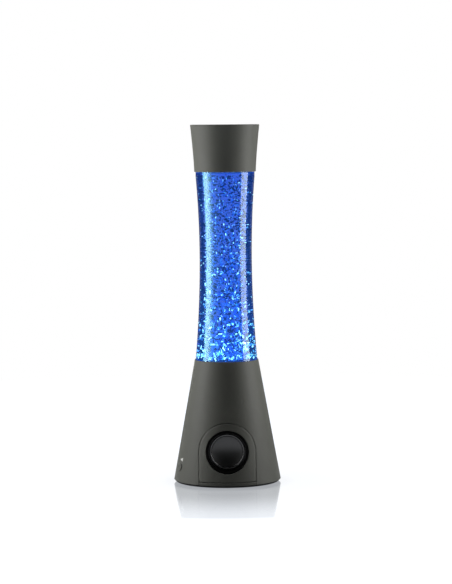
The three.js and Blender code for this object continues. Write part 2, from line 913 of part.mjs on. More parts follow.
function boardParts() {
  const sheet = moved(
    block(boardWidth, boardThickness, boardFloor, boardTop),
    shift(0, boardSetback + boardThickness / 2, 0),
  );
  const holes = boardBosses.map(([x, z]) => moved(
    rod(smallHoleRadius, -boardThickness - overrun, overrun, smallSides),
    boardFrame(x, z),
  ));
  const face = boardSetback - fitGap;
  const screws = boardBosses.map(([x, z], i) => piece(
    `board_screw_${i + 1}`,
    moved(smallScrew(0, boardScrewLength), frameAlong([x, face, z], [0, 1, 0])),
    steel,
  ));
  const capacitors = [-1, 1].map((side, i) => piece(
    `capacitor_${i + 1}`,
    moved(
      rod(capacitorRadius, 0, capacitorLength, footSides),
      frameAlong([(side * capacitorSpacing) / 2, face, boardTop - capacitorDrop], [0, -1, 0]),
    ),
    aluminium,
  ));
  const chip = moved(
    block(chipWidth, chipThickness, boardTop - chipDrop - chipWidth, boardTop - chipDrop),
    shift(0, face - chipThickness / 2, 0),
  );
  return [
    piece("circuit_board", cut(sheet, ...holes), boardGreen),
    piece("amplifier_chip", chip, chipBlack),
    ...capacitors,
    ...screws,
  ];
}

// Push button with its switch

function switchTop() {
  return -buttonFlangeDepth - buttonFlangeThickness - buttonTravel - fitGap * 2;
}

function buttonBoardDepth() {
  return switchTop() - switchHeight - fitGap;
}

function buttonCap() {
  return turnedSolid([
    [0, -buttonFlangeDepth - buttonFlangeThickness],
    [buttonFlangeRadius, -buttonFlangeDepth - buttonFlangeThickness],
    [buttonFlangeRadius, -buttonFlangeDepth],
    [buttonRadius, -buttonFlangeDepth],
    [buttonRadius, buttonProud - buttonRound],
    [buttonRadius - buttonRound, buttonProud],
    [0, buttonProud],
  ]);
}

function buttonParts() {
  const plungerTop = -buttonFlangeDepth - buttonFlangeThickness - fitGap;
  const plungerLow = plungerTop - plungerLength;
  const bodyTop = switchTop();
  const body = cut(
    block(switchWidth, switchWidth, bodyTop - switchHeight, bodyTop),
    rod(plungerRadius + fitGap, plungerLow - buttonTravel - fitGap, bodyTop + overrun, smallSides),
  );
  const board = buttonBoardDepth();
  return group(
    buttonFrame,
    piece("power_button", buttonCap(), housingGrey),
    piece("switch_plunger", rod(plungerRadius, plungerLow, plungerTop, smallSides), bezelBlack),
    piece("push_switch", body, chipBlack),
    piece("button_board",
      block(buttonBoardWidth, buttonBoardHeight, board - boardThickness, board), boardGreen),
  );
}

// Low-voltage inlet

function inletParts() {
  const barrel = join(
    rod(inletBarrelRadius, -inletLength, fitGap + inletFlangeThickness),
    rod(inletFlangeRadius, fitGap, fitGap + inletFlangeThickness),
  );
  const socketFloor = fitGap + inletFlangeThickness - inletSocketDepth;
  const socket = rod(inletSocketRadius, socketFloor, overrun * 2);
  const nutTop = -wallAlongNormal - fitGap * 2;
  const nutLow = nutTop - inletNutThickness;
  const nut = cut(
    rod(inletNutRadius, nutLow, nutTop, nutSides),
    rod(inletBarrelRadius + fitGap, nutLow - overrun, nutTop + overrun),
  );
  const pin = rod(inletPinRadius, socketFloor + fitGap, -fitGap, smallSides);
  return group(
    inletFrame,
    piece("dc_inlet", cut(barrel, socket), chipBlack),
    piece("inlet_pin", pin, steel),
    piece("inlet_nut", nut, steel),
  );
}

// A lead along a smooth curve through chosen points
function lead(name, points) {
  const curve = new THREE.CatmullRomCurve3(points.map((p) => new THREE.Vector3(...p)));
  const corners = Array.from({ length: leadSides }, (_, i) => {
    const angle = (Math.PI * 2 * i) / leadSides;
    return new THREE.Vector2(leadRadius * Math.cos(angle), leadRadius * Math.sin(angle));
  });
  const tube = new THREE.ExtrudeGeometry(new THREE.Shape(corners), {
    steps: leadSteps,
    extrudePath: curve,
  });
  return piece(name, solid(tube), wireBlack);
}

// The first two points of a lead that leaves a piece square to its face
function leadEnd(frame, low) {
  return [low, low - leadRadius * 2].map((height) =>
    new THREE.Vector3(0, 0, height).applyMatrix4(frame).toArray());
}

function leads() {
  const step = leadRadius * 2;
  const boardFront = boardSetback - fitGap;
  const boardBack = boardSetback + boardThickness + fitGap;
  const column = boardWidth / 2 - step;
  const onBoard = (x, z) => [[x, boardFront - step, z], [x, boardFront, z]];
  const magnetSide = magnetRadius + fitGap;
  const magnetBack = speakerFace + basketDepth + topPlateThickness + magnetThickness;
  const lampStart = bracketHeight + bracketThickness + step * 2;
  const holderSide = -holderRadius - fitGap;
  const besidePost = -postSpacing / 2 - postRadius - step * 3;
  const [inletEnd, inletNext] = leadEnd(inletFrame, -inletLength - fitGap);
  const [switchEnd, switchNext] = leadEnd(buttonFrame, buttonBoardDepth() - boardThickness - fitGap);
  return [
    lead("speaker_lead", [
      [magnetSide, magnetBack, speakerHeight],
      [magnetSide + step, magnetBack, speakerHeight],
      [column + step * 2, 0, speakerHeight],
      ...onBoard(column, speakerHeight),
    ]),
    lead("lamp_lead", [
      [holderSide, 0, lampStart],
      [holderSide - step, 0, lampStart],
      ...onBoard(-column, lampStart + step * 2),
    ]),
    lead("inlet_lead", [
      inletEnd,
      inletNext,
      [step, boardBack + step, inletNext[2] + step],
      [step, boardBack, inletNext[2] + step],
    ]),
    lead("button_lead", [
      switchEnd,
      switchNext,
      [besidePost, 0, switchNext[2]],
      [-column - step * 2, holderRadius, switchNext[2]],
      ...onBoard(-column, switchNext[2] + step),
    ]),
  ];
}

// Vessel, liquid, stopper and closure

// Outer radius of the hourglass at a height between the base's rim and the band
function waistCurve(height) {
  const below = height < waistHeight;
  const span = below ? waistHeight - flareStart : bandHeight - waistHeight;
  const end = below ? vesselFootRadius : vesselTopRadius;
  const share = Math.min(1, Math.abs(height - waistHeight) / span);
  const power = below ? lowerFlarePower : upperFlarePower;
  return vesselWaistRadius + (end - vesselWaistRadius) * share ** power;
}

function waistPoints(inset, from, to) {
  return Array.from({ length: waistSteps + 1 }, (_, i) => {
    const height = from + ((to - from) * i) / waistSteps;
    return [waistCurve(height) - inset, height];
  });
}

function vesselOutside() {
  const corner = vesselFootCorner;
  const centre = vesselBottom + corner;
  return [
    [0, vesselBottom],
    ...arc(vesselFootRadius - corner, centre, corner, -90, 0, cornerSteps),
    ...waistPoints(0, flareStart, bandHeight),
    ...arc(vesselTopRadius - shoulderRadius, shoulderHeight, shoulderRadius, 0, 90, cornerSteps),
    [neckRadius, neckStart],
    [neckRadius, neckTop],
  ];
}

function vesselInside(inset) {
  const gap = vesselWall + inset;
  const floor = vesselBottom + vesselFloor + inset;
  const corner = shoulderRadius - vesselWall;
  return [
    [neckRadius - gap, neckTop],
    [neckRadius - gap, neckStart - gap],
    ...arc(vesselTopRadius - shoulderRadius, shoulderHeight, corner - inset, 90, 0, cornerSteps),
    ...waistPoints(gap, bandHeight, flareStart),
    [vesselFootRadius - gap, floor + corner / 2],
    [vesselFootRadius - gap - corner / 2, floor],
    [0, floor],
  ];
}

function vessel() {
  return turnedSolid([...vesselOutside(), ...vesselInside(0)], vesselSides);
}

function liquid() {
  const gap = vesselWall + fitGap;
  const floor = vesselBottom + vesselFloor + fitGap;
  const level = shoulderHeight - airGap;
  const corner = (shoulderRadius - vesselWall) / 2;
  const walls = waistPoints(gap, flareStart, bandHeight).filter(([, height]) => height < level);
  return turnedSolid([
    [0, floor],
    [vesselFootRadius - gap - corner, floor],
    [vesselFootRadius - gap, floor + corner],
    ...walls,
    [waistCurve(level) - gap, level],
    [0, level],
  ], vesselSides);
}

function stopper() {
  const plug = neckRadius - vesselWall - fitGap;
  const seat = neckTop + fitGap;
  return turnedSolid([
    [0, neckTop - stopperDepth],
    [plug, neckTop - stopperDepth],
    [plug, seat],
    [neckRadius, seat],
    [neckRadius, seat + stopperFlange],
    [0, seat + stopperFlange],
  ]);
}

function closure() {
  const inner = neckRadius + fitGap;
  const ceiling = neckTop + stopperFlange + fitGap * 2;
  const low = ceiling + closureWall - closureHeight;
  return turnedSolid([
    [0, ceiling],
    [inner, ceiling],
    [inner, low],
    [inner + closureWall, low],
    [inner + closureWall, ceiling + closureWall],
    [0, ceiling + closureWall],
  ]);
}

function seatRing() {
  const outer = rimInnerRadius - fitGap;
  return ring(outer - seatRingWidth, outer, seatRingTop - seatRingThickness, seatRingTop);
}

// Cap

function capRadius(height) {
  const share = (height - capLipHeight) / capHeight;
  return capLipRadius + capFlare * share ** capFlarePower;
}

// The ring under the cap's flange rests on the vessel's shoulder
function capRingBottom() {
  const across = capFlangeHoleRadius - (vesselTopRadius - shoulderRadius);
  const rise = Math.sqrt(shoulderRadius ** 2 - Math.max(0, across) ** 2);
  return shoulderHeight + rise + fitGap;
}

function capShell() {
  const ceiling = capTop - capTopThickness;
  const flangeLow = capRingBottom() + capRingThickness + fitGap;
  const flangeHigh = flangeLow + capFlangeThickness;
  const steps = flareSteps;
  const outside = Array.from({ length: steps + 1 }, (_, i) => {
    const height = capLipHeight + ((capHeight - capEdgeRound) * i) / steps;
    return [capRadius(height), height];
  });
  const inside = (height) => [capRadius(height) - capWall, height];
  const middle = (flangeHigh + ceiling) / 2;
  const edge = arc(
    capRadius(capTop - capEdgeRound) - capEdgeRound, capTop - capEdgeRound,
    capEdgeRound, capEdgeAngle, 90, cornerSteps - 1,
  );
  return turnedSolid([
    [0, ceiling],
    inside(ceiling),
    inside(middle),
    inside(flangeHigh),
    [capFlangeHoleRadius, flangeHigh],
    [capFlangeHoleRadius, flangeLow],
    inside(flangeLow),
    inside(capLipHeight),
    ...outside,
    ...edge,
    [0, capTop],
  ], capSides);
}

function capRing() {
  const low = capRingBottom();
  const outer = capRadius(low) - capWall - fitGap;
  return ring(capFlangeHoleRadius, outer, low, low + capRingThickness, roundSides);
}

// The whole lamp
const lamp = new THREE.Group();
lamp.add(
  group(
    world,
    piece("base_shell", baseShell(), housingGrey),
    piece("front_panel", frontPanel(), housingGrey),
    piece("speaker_bezel", bezel(), bezelBlack),
    piece("bottom_cover", bottomCover(), coverBlack),
    piece("vessel_seat_ring", seatRing(), rubberBlack),
    ...coverFixings(),
    ...lampParts(),
    ...reflectorParts(),
    ...boardParts(),
    ...leads(),
    speaker(),
    buttonParts(),
    inletParts(),
  ),
  group(
    world,
    piece("glass_vessel", vessel(), clearGlass),
    piece("liquid", liquid(), blueLiquid),
    piece("vessel_stopper", stopper(), rubberBlack),
    piece("vessel_closure", closure(), softWhite),
  ),
  group(
    world,
    piece("cap_shell", capShell(), housingGrey),
    piece("cap_ring", capRing(), rubberBlack),
  ),
);

export default lamp;
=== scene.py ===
import math

import bmesh
import bpy
from mathutils import Matrix, Vector


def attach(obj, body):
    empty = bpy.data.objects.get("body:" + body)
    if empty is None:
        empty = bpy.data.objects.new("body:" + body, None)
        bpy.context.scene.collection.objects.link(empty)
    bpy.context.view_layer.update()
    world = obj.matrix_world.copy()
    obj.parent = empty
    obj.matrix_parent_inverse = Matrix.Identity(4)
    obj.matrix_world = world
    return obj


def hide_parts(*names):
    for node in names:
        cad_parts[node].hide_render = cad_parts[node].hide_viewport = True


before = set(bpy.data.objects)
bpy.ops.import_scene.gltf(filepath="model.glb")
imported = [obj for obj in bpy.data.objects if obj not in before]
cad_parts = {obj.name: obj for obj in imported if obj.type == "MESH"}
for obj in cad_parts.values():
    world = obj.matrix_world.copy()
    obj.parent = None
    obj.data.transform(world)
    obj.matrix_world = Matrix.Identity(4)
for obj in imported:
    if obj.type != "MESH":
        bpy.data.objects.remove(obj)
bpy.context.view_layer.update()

scene = bpy.context.scene
mm = 0.001

# Camera: 2.4 m in front of the lamp with a long lens, as high as the cap, and turned a
# little down. It leans by half a degree.
eye_distance = 2400
eye_height = 374.5
eye_tilt = 4.23
eye_lean = 0.47
eye_lens = 143.3
camera = bpy.data.objects.new("camera", bpy.data.cameras.new("camera"))
camera.data.lens = eye_lens
camera.location = (0, -eye_distance * mm, eye_height * mm)
tilt_down = Matrix.Rotation(math.radians(90 - eye_tilt), 4, "X")
lean = Matrix.Rotation(math.radians(-eye_lean), 4, "Z")
camera.rotation_euler = (tilt_down @ lean).to_euler()
scene.collection.objects.link(camera)
scene.camera = camera
scene.view_settings.view_transform = "Standard"


# Studio: a dim room with a white wall behind the lamp, tall soft lights on both sides and
# small ones in front and above. The eye sees the room white all round, and glass sees the
# wall only where it stands, with a bright strip on each side.


class Link:
    """A value in a node tree. Arithmetic on it adds Math nodes."""

    def __init__(self, tree, socket=None):
        self.tree = tree
        self.socket = socket

    def node(self, kind, settings=None, sockets=None, output=0):
        """Adds a node of any kind: its settings first, then its values or links."""
        made = self.tree.nodes.new(kind)
        for name, value in (settings or {}).items():
            setattr(made, name, value)
        for name, value in (sockets or {}).items():
            if isinstance(value, Link):
                self.tree.links.new(value.socket, made.inputs[name])
            else:
                made.inputs[name].default_value = value
        return Link(self.tree, made.outputs[output] if made.outputs else None)

    def also(self, output):
        """Another output of the same node."""
        return Link(self.tree, self.socket.node.outputs[output])

    def axis(self, name):
        """One coordinate of a place or direction."""
        return self.node("ShaderNodeSeparateXYZ", sockets={"Vector": self}, output=name)

    def math(self, operation, first, second=0.0):
        values = {0: first, 1: second}
        return self.node("ShaderNodeMath", {"operation": operation}, values)

    def smooth(self, low, high):
        """0 below low, 1 above high, and an even rise between them."""
        span = {"Value": self, "From Min": low, "From Max": high}
        return self.node("ShaderNodeMapRange", {"interpolation_type": "SMOOTHSTEP"}, span)

    def __add__(self, other):
        return self.math("ADD", self, other)

    def __sub__(self, other):
        return self.math("SUBTRACT", self, other)

    def __rsub__(self, other):
        return self.math("SUBTRACT", other, self)

    def __mul__(self, other):
        return self.math("MULTIPLY", self, other)

    def __pow__(self, other):
        return self.math("POWER", self, other)

    __radd__ = __add__
    __rmul__ = __mul__


def cleared(tree):
    """Empties a node tree and returns a start for its links."""
    tree.nodes.clear()
    return Link(tree)


def between(factor, first, second):
    """A colour between two others."""
    sockets = {0: factor, 6: first, 7: second}
    return factor.node("ShaderNodeMix", {"data_type": "RGBA"}, sockets, 2)


room_light = 0.012
front_gleam = 0.06
room_through_glass = 0.07
# Each pair says where something begins and ends, as a share of a direction of length 1.
horizon = (-0.01, 0.03)
high_room = (0.08, 0.5)
high_room_loss = 0.7
wall_side = (0.80, 0.88)
left_front = (-0.68, -0.2)
left_glimmer = (-0.99, -0.75)
left_glimmer_share = 0.1
left_back = (0.05, 0.21)
right_front = (-0.46, -0.33)
right_back = (0.12, 0.22)
strip_foot = (-0.3, -0.22)
strip_head = (-0.08, 0.1)
strip_head_loss = 0.2
left_shine = 11.2
left_tone = (0.39, 0.94, 1.0, 1)
right_shine = 4.6
right_tone = (0.74, 1.0, 0.95, 1)
world = bpy.data.worlds.new("studio")
scene.world = world
world.use_nodes = True
room = cleared(world.node_tree)
eye_ray = room.node("ShaderNodeLightPath", output="Is Camera Ray")
gleam_ray = eye_ray.also("Is Glossy Ray")
through_ray = eye_ray.also("Is Transmission Ray")
heading = room.node("ShaderNodeTexCoord", output="Generated")
sideways = heading.axis("X")
ahead = sideways.also("Y")
upward = sideways.also("Z")
wall = ahead.smooth(*wall_side)
above = upward.smooth(*horizon)
dimming = 1 - upward.smooth(*high_room) * high_room_loss
gleam = above * (front_gleam * dimming + wall * (1 - front_gleam))
seen_through = room_through_glass + wall * (1 - room_through_glass)
bounced = gleam * (1 - through_ray) + seen_through * through_ray
strength = eye_ray + (1 - eye_ray) * (gleam_ray * bounced + (1 - gleam_ray) * room_light)
white = {"Color": (1, 1, 1, 1), "Strength": strength}
sky = room.node("ShaderNodeBackground", sockets=white)
on_left = sideways.math("LESS_THAN", sideways, 0)
left_strip = ahead.smooth(*left_front) + ahead.smooth(*left_glimmer) * left_glimmer_share
left_strip = left_strip * (1 - ahead.smooth(*left_back)) * left_shine
right_strip = ahead.smooth(*right_front) * (1 - ahead.smooth(*right_back)) * right_shine
strips = on_left * left_strip + (1 - on_left) * right_strip
strips = strips * upward.smooth(*strip_foot)
strips = strips * (1 - upward.smooth(*strip_head) * strip_head_loss)
mirrored = eye_ray.also("Is Singular Ray") * (1 - through_ray)
tinted = {"Color": between(on_left, right_tone, left_tone), "Strength": strips * mirrored}
shine = room.node("ShaderNodeBackground", sockets=tinted)
both = room.node("ShaderNodeAddShader", sockets={0: sky, 1: shine})
room.node("ShaderNodeOutputWorld", sockets={"Surface": both})


def hang(panel, place, turn):
    """Hangs a light that the eye doesn't see. Its place is in mm, its turn in degrees."""
    holder = bpy.data.objects.new(panel.name, panel)
    holder.location = [value * mm for value in place]
    holder.rotation_euler = [math.radians(angle) for angle in turn]
    holder.visible_camera = False
    holder.visible_transmission = False
    scene.collection.objects.link(holder)
    return holder


for name, side, distance, near, far, low, high, level in (
    ("far light", -1, 1050, -400, 0, 15, 1400, 5.2),
    ("far light", 1, 1050, -440, 150, 15, 1400, 7.2),
    ("near light", -1, 350, -125, 137, 72, 480, 2.12),
    ("near light", 1, 350, -125, 117, 72, 480, 1.52),
):
    panel = bpy.data.lights.new(name, "AREA")
    panel.shape = "RECTANGLE"
    panel.size = (far - near) * mm
    panel.size_y = (high - low) * mm
    panel.energy = level
    place = (side * distance, (near + far) / 2, (low + high) / 2)
    holder = hang(panel, place, (90, 0, side * 90))
    holder.visible_diffuse = name == "near light"
    holder.visible_glossy = name == "far light"
front_light = bpy.data.lights.new("front light", "AREA")
front_light.size = 120 * mm
front_light.energy = 0.11
front_light.color = (0.9, 0.94, 1.0)
hang(front_light, (0, -200, 480), (45, 0, 0)).visible_glossy = False
top_light = bpy.data.lights.new("top light", "AREA")
top_light.shape = "DISK"
top_light.size = 64 * mm
top_light.spread = math.radians(3)
top_light.energy = 0.02
hang(top_light, (0, 0, 900), (0, 0, 0)).visible_glossy = False


# Floor: a round table top of polished white acrylic. At a low view it mirrors the lamp's
# foot, less and less with the distance from it, and it takes a faint shadow. Its own light is
# painted lower near the foot as painted shade, and lower still in a ring right round it as a
# painted contact shadow.


def shade(red, green, blue):
    """A colour as a screen shows it, 0 to 255, in linear light."""

    def linear(value):
        value /= 255
        return value / 12.92 if value <= 0.04045 else ((value + 0.055) / 1.055) ** 2.4

    return (linear(red), linear(green), linear(blue), 1)


table_radius = 1000
table_light = 0.84
# A range says where something begins and ends, in mm from the lamp's axis.
# Painted shade: the floor's own light rises by far_light over this range, so it is lower near the
# lamp's foot.
far_range = (100, 360)
far_light = 0.23
# Painted contact shadow: within this ring round the foot, the floor's own light drops to this
# share.
painted_contact_range = (55, 75)
painted_contact_shade = 0.88
gleam_range = (80, 360)
table_gleam = 0.36
mirror_share = 0.71
mirror_range = (87, 235)
mirror_loss = 0.5
mirror_end_range = (225, 240)
mirror_slant = (0.72, 0.83)
mirror_extra = 0.8
acrylic = bpy.data.materials.new("white acrylic")
acrylic.use_nodes = True
top = cleared(acrylic.node_tree)
eye_ray = top.node("ShaderNodeLightPath", output="Is Camera Ray")
gleam_ray = eye_ray.also("Is Glossy Ray")
place = top.node("ShaderNodeTexCoord", output="Object")
metres = top.node("ShaderNodeVectorMath", {"operation": "LENGTH"}, {0: place}, "Value")
reach = metres * (1 / mm)
slant = top.node("ShaderNodeLayerWeight", sockets={"Blend": 0.5}, output="Facing")
mirror = mirror_share * slant.smooth(*mirror_slant)
mirror = mirror * (1 - reach.smooth(*mirror_range) * mirror_loss)
mirror = mirror * (1 - reach.smooth(*mirror_end_range))
matt = top.node("ShaderNodeBsdfDiffuse", sockets={"Color": shade(125, 125, 125)})
level = table_light + reach.smooth(*far_range) * far_light + mirror * mirror_extra
# Painted contact shadow round the lamp's foot.
level = level * (painted_contact_shade + reach.smooth(*painted_contact_range) * (1 - painted_contact_shade))
seen = eye_ray * level + gleam_ray * (1 - reach.smooth(*gleam_range)) * table_gleam
cool = {"Color": (0.96, 1.0, 1.06, 1), "Strength": seen}
own = top.node("ShaderNodeEmission", sockets=cool)
white = top.node("ShaderNodeAddShader", sockets={0: matt, 1: own})
polish = top.node("ShaderNodeBsdfGlossy", sockets={"Roughness": 0.09})
surface = top.node("ShaderNodeMixShader", sockets={0: mirror, 1: white, 2: polish})
top.node("ShaderNodeOutputMaterial", sockets={"Surface": surface})
sheet = bmesh.new()
bmesh.ops.create_circle(sheet, cap_ends=True, segments=96, radius=table_radius * mm)
table = bpy.data.objects.new("table_top", bpy.data.meshes.new("table_top"))
sheet.to_mesh(table.data)
sheet.free()
table.data.materials.append(acrylic)
scene.collection.objects.link(table)


# Housing of the base: a cone of moulded dark grey plastic with a shelf near its top, an
# arched opening at the front, and bosses inside for the screws. A small white pointer is
# printed above the button.
foot_radius = 55.4
foot_height = 2.7
rim_height = 127.3
rim_outer = 32.9
rim_inner = 32.16
housing_wall = 2.4
shelf_low = 113.2
shelf_high = 115.8
shelf_hole = 24.5
housing_slope = (foot_radius - rim_outer) / (rim_height - foot_height)
arch_half = 29.7
arch_sill = 5.4
arch_centre = 36.3
arch_corner = 1.3
arch_steps = 240
corner_steps = range(-9, 10)
corner_step = 0.31
corner_shift = 0.07
seam = 0.5
panel_thickness = 1.6
crease = math.radians(38)


def cone_radius(height):
    return foot_radius - housing_slope * (height - foot_height)


def eased(corners, closed=False, steps=5):
    """Rounds each corner of a line, given as (across, up) or (across, up, radius)."""
    points = []
    count = len(corners)
    for i, corner in enumerate(corners):
        here = Vector(corner[:2])
        if len(corner) < 3 or (not closed and i in (0, count - 1)):
            points.append(tuple(here))
            continue
        back = Vector(corners[i - 1][:2]) - here
        on = Vector(corners[(i + 1) % count][:2]) - here
        reach = corner[2] / math.tan(back.angle(on) / 2)
        reach = min(reach, back.length * 0.48, on.length * 0.48)
        start = here + back.normalized() * reach
        end = here + on.normalized() * reach
        for k in range(steps + 1):
            t = k / steps
            points.append(tuple(start * (1 - t) ** 2 + here * 2 * t * (1 - t) + end * t * t))
    return points


def lofted(rows, ring=False):
    """Joins rows of points with four-sided faces. A row of one point is a pole."""
    mesh = bmesh.new()
    made = [[mesh.verts.new(Vector(point) * mm) for point in row] for row in rows]
    sides = max(len(row) for row in made)
    made = [row * sides if len(row) == 1 else row for row in made]
    pairs = list(zip(made, made[1:])) + ([(made[-1], made[0])] if ring else [])
    for low, high in pairs:
        for i in range(sides):
            k = (i + 1) % sides
            corners = list(dict.fromkeys((low[i], low[k], high[k], high[i])))
            if len(corners) > 2:
                mesh.faces.new(corners)
    bmesh.ops.recalc_face_normals(mesh, faces=mesh.faces)
    return mesh


def turned(profile, sides=192, stand=Matrix()):
    """Turns a line of (radius, height) round the Z axis of a stand."""
    rows = []
    for radius, height in profile:
        around = range(sides if radius > 1e-6 else 1)
        turn = [math.tau * i / sides for i in around]
        spots = [(radius * math.cos(a), radius * math.sin(a), height) for a in turn]
        rows.append([stand @ Vector(spot) for spot in spots])
    return lofted(rows, ring=profile[0][0] > 1e-6)


def joined(*meshes):
    """Puts meshes into one, without cutting them."""
    whole = bmesh.new()
    for mesh in meshes:
        part = bpy.data.meshes.new("part")
        mesh.to_mesh(part)
        mesh.free()
        whole.from_mesh(part)
        bpy.data.meshes.remove(part)
    return whole


def combined(mesh, tool, operation="DIFFERENCE"):
    """Cuts a mesh with a tool, or keeps what both share."""
    block = bpy.data.objects.new("block", bpy.data.meshes.new("block"))
    cutter = bpy.data.objects.new("cutter", bpy.data.meshes.new("cutter"))
    for thing, shape in ((block, mesh), (cutter, tool)):
        shape.to_mesh(thing.data)
        shape.free()
        scene.collection.objects.link(thing)
    knife = block.modifiers.new("knife", "BOOLEAN")
    knife.operation = operation
    knife.solver = "EXACT"
    knife.object = cutter
    left = bmesh.new()
    left.from_object(block, bpy.context.evaluated_depsgraph_get())
    for thing in (block, cutter):
        data = thing.data
        bpy.data.objects.remove(thing)
        bpy.data.meshes.remove(data)
    return left


def piece(name, mesh, body, slot, finish, *nodes):
    """Makes a piece of a mesh. It rides on a body and stands for its CAD nodes."""
    data = bpy.data.meshes.new(name)
    mesh.to_mesh(data)
    mesh.free()
    data.materials.append(finish)
    data.shade_smooth()
    data.set_sharp_from_angle(angle=crease)
    made = bpy.data.objects.new(name, data)
    scene.collection.objects.link(made)
    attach(made, body)
    if nodes:
        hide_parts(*nodes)
    return made


def arch_reach(angle, inset, low=None):
    """Distance from the speaker's axis to the arch, in a direction."""
    half = arch_half - inset
    bottom = arch_centre - (arch_sill + inset if low is None else low)
    x, z = math.cos(angle), math.sin(angle)
    if z >= 0:
        return half
    reach = min(half / max(abs(x), 1e-9), bottom / -z)
    corner = Vector(((half - arch_corner) * math.copysign(1, x), arch_corner - bottom))
    spot = Vector((x, z)) * reach
    if abs(spot.x) > abs(corner.x) and spot.y < corner.y:
        along = corner.dot(Vector((x, z)))
        reach = along + math.sqrt(along**2 - corner.length_squared + arch_corner**2)
    return reach


corner_angle = math.atan2(arch_sill - arch_centre, arch_half)
arch_angles = [math.tau * i / arch_steps for i in range(arch_steps)]
for centre_angle in (corner_angle % math.tau, (math.pi - corner_angle) % math.tau):
    arch_angles += [
        centre_angle + math.radians(corner_step * i + corner_shift) for i in corner_steps
    ]
arch_angles.sort()


def arch_row(inset, depth, low=None):
    """The arch's outline on the cone, at a depth under its surface."""
    return [on_cone(arch_reach(a, inset, low), a, depth) for a in arch_angles]


def on_cone(reach, angle, depth):
    """A point on the cone, by its distance and direction from the speaker's axis."""
    x, z = reach * math.cos(angle), arch_centre + reach * math.sin(angle)
    return (x, -math.sqrt((cone_radius(z) - depth) ** 2 - x * x), z)


def post(radius, low, high, stand, sides=24):
    return turned([(0, low), (radius, low), (radius, high), (0, high)], sides, stand)


def tube(inner, outer, low, high, stand, sides=32):
    return turned([(inner, low), (outer, low), (outer, high), (inner, high)], sides, stand)


def at(azimuth, radius, height=0.0):
    """A stand at an azimuth from the front towards +X, with its Y axis inwards."""
    angle = math.radians(azimuth)
    place = Vector((radius * math.sin(angle), -radius * math.cos(angle), height))
    return Matrix.Translation(place) @ Matrix.Rotation(angle, 4, "Z")


def on_housing(azimuth, height):
    """A stand on the cone's surface, with its Z axis along the surface's normal."""
    tip = Matrix.Rotation(math.pi / 2 - math.atan(housing_slope), 4, "X")
    return at(azimuth, cone_radius(height), height) @ tip


def noise(place, scale, detail=2.0, roughness=0.5):
    sockets = {"Vector": place, "Scale": scale, "Detail": detail, "Roughness": roughness}
    return place.node("ShaderNodeTexNoise", sockets=sockets)


def raised(height, distance, onto=None):
    """A normal from a height."""
    sockets = {"Height": height, "Distance": distance}
    if onto:
        sockets["Normal"] = onto
    return height.node("ShaderNodeBump", sockets=sockets)


def new_finish(name, **steady):
    """A material, its principled shader's inputs, and a start for its links."""
    material = bpy.data.materials.new(name)
    material.use_nodes = True
    shader = material.node_tree.nodes["Principled BSDF"]
    for label, value in steady.items():
        shader.inputs[label.replace("_", " ")].default_value = value
    place = Link(material.node_tree).node("ShaderNodeTexCoord", output="Object")
    return material, shader, place


def feed(shader, **varied):
    """Links what changes over a surface to its shader."""
    for label, value in varied.items():
        shader.id_data.links.new(value.socket, shader.inputs[label.replace("_", " ")])


def moulded(name, dark, light, gloss, grain, depth, mark=None, **steady):
    """A moulded or rolled surface: two close colours, uneven gloss and a fine grain."""
    material, shader, place = new_finish(name, **steady)
    patches = noise(place, grain / 24, 3)
    specks = noise(place, grain, 2, 0.6)
    tone = between(patches * 0.6 + specks * 0.4, dark, light)
    if mark:
        tone = mark(place, tone)
    rough = gloss[0] + (gloss[1] - gloss[0]) * (patches * 0.5 + specks * 0.5)
    feed(shader, Base_Color=tone, Roughness=rough, Normal=raised(specks, depth * mm))
    return material


pointer_azimuth = -67.4
pointer_height = 25.6
pointer_half = 3.5
pointer_slope = 0.29
ink_edge = 0.2
ink_side = 20


def pointer(place, tone):
    """A small white arrow head, printed on the housing's left side."""
    turn = math.radians(pointer_azimuth)
    across = place.axis("X")
    ahead = across.also("Y")
    up = across.also("Z")
    along = across * math.cos(turn) + ahead * math.sin(turn)
    outward = across * math.sin(turn) - ahead * math.cos(turn)
    level = up.math("ABSOLUTE", up - pointer_height * mm)
    half, edge = pointer_half * mm, ink_edge * mm
    inside = (along + half) * pointer_slope - level
    shape = inside.smooth(0, edge) * (1 - along.smooth(half - edge, half))
    ink = shape * outward.math("GREATER_THAN", outward, ink_side * mm)
    return between(ink, tone, shade(214, 214, 210))


housing_dark = shade(91, 92, 87)
housing_light = shade(103, 104, 98)
housing_grain = 1900
housing_depth = 0.016
housing_gloss = (0.42, 0.54)
housing_look = (housing_dark, housing_light, housing_gloss, housing_grain, housing_depth)
housing_plastic = moulded("housing plastic", *housing_look, Specular_IOR_Level=0.25)
marked_plastic = moulded(
    "marked housing plastic", *housing_look, pointer, Specular_IOR_Level=0.25
)

button_azimuth = -67.5
button_height = 17.7
button_hole = 4.05
inlet_azimuth = 180
inlet_height = 16
inlet_hole = 4.2
screw_circle = 44.5
screw_azimuths = (45, 135, 225, 315)
board_front = 25.9
board_bosses = ((-15, 30), (15, 50))
button_bosses = (-9, 9)
walls = turned(eased([
    (cone_radius(foot_height) - housing_wall, foot_height, 0.2),
    (foot_radius, foot_height, 0.3),
    (cone_radius(shelf_low), shelf_low),
    (rim_outer, rim_height, 0.4),
    (rim_inner, rim_height, 0.3),
    (rim_inner, shelf_high),
    (shelf_hole, shelf_high, 0.5),
    (shelf_hole, shelf_low, 0.5),
    (cone_radius(shelf_low) - housing_wall, shelf_low),
], closed=True), 256)
opening_foot = -8
opening_near = -70
opening_far = -12


def opening_row(back):
    """The arch's outline in a plane, with its sill drawn down past the cone's foot."""
    sill = arch_sill + arch_corner * 1.5
    return [(x, back, z if z > sill else opening_foot) for x, y, z in arch_row(0, 0)]


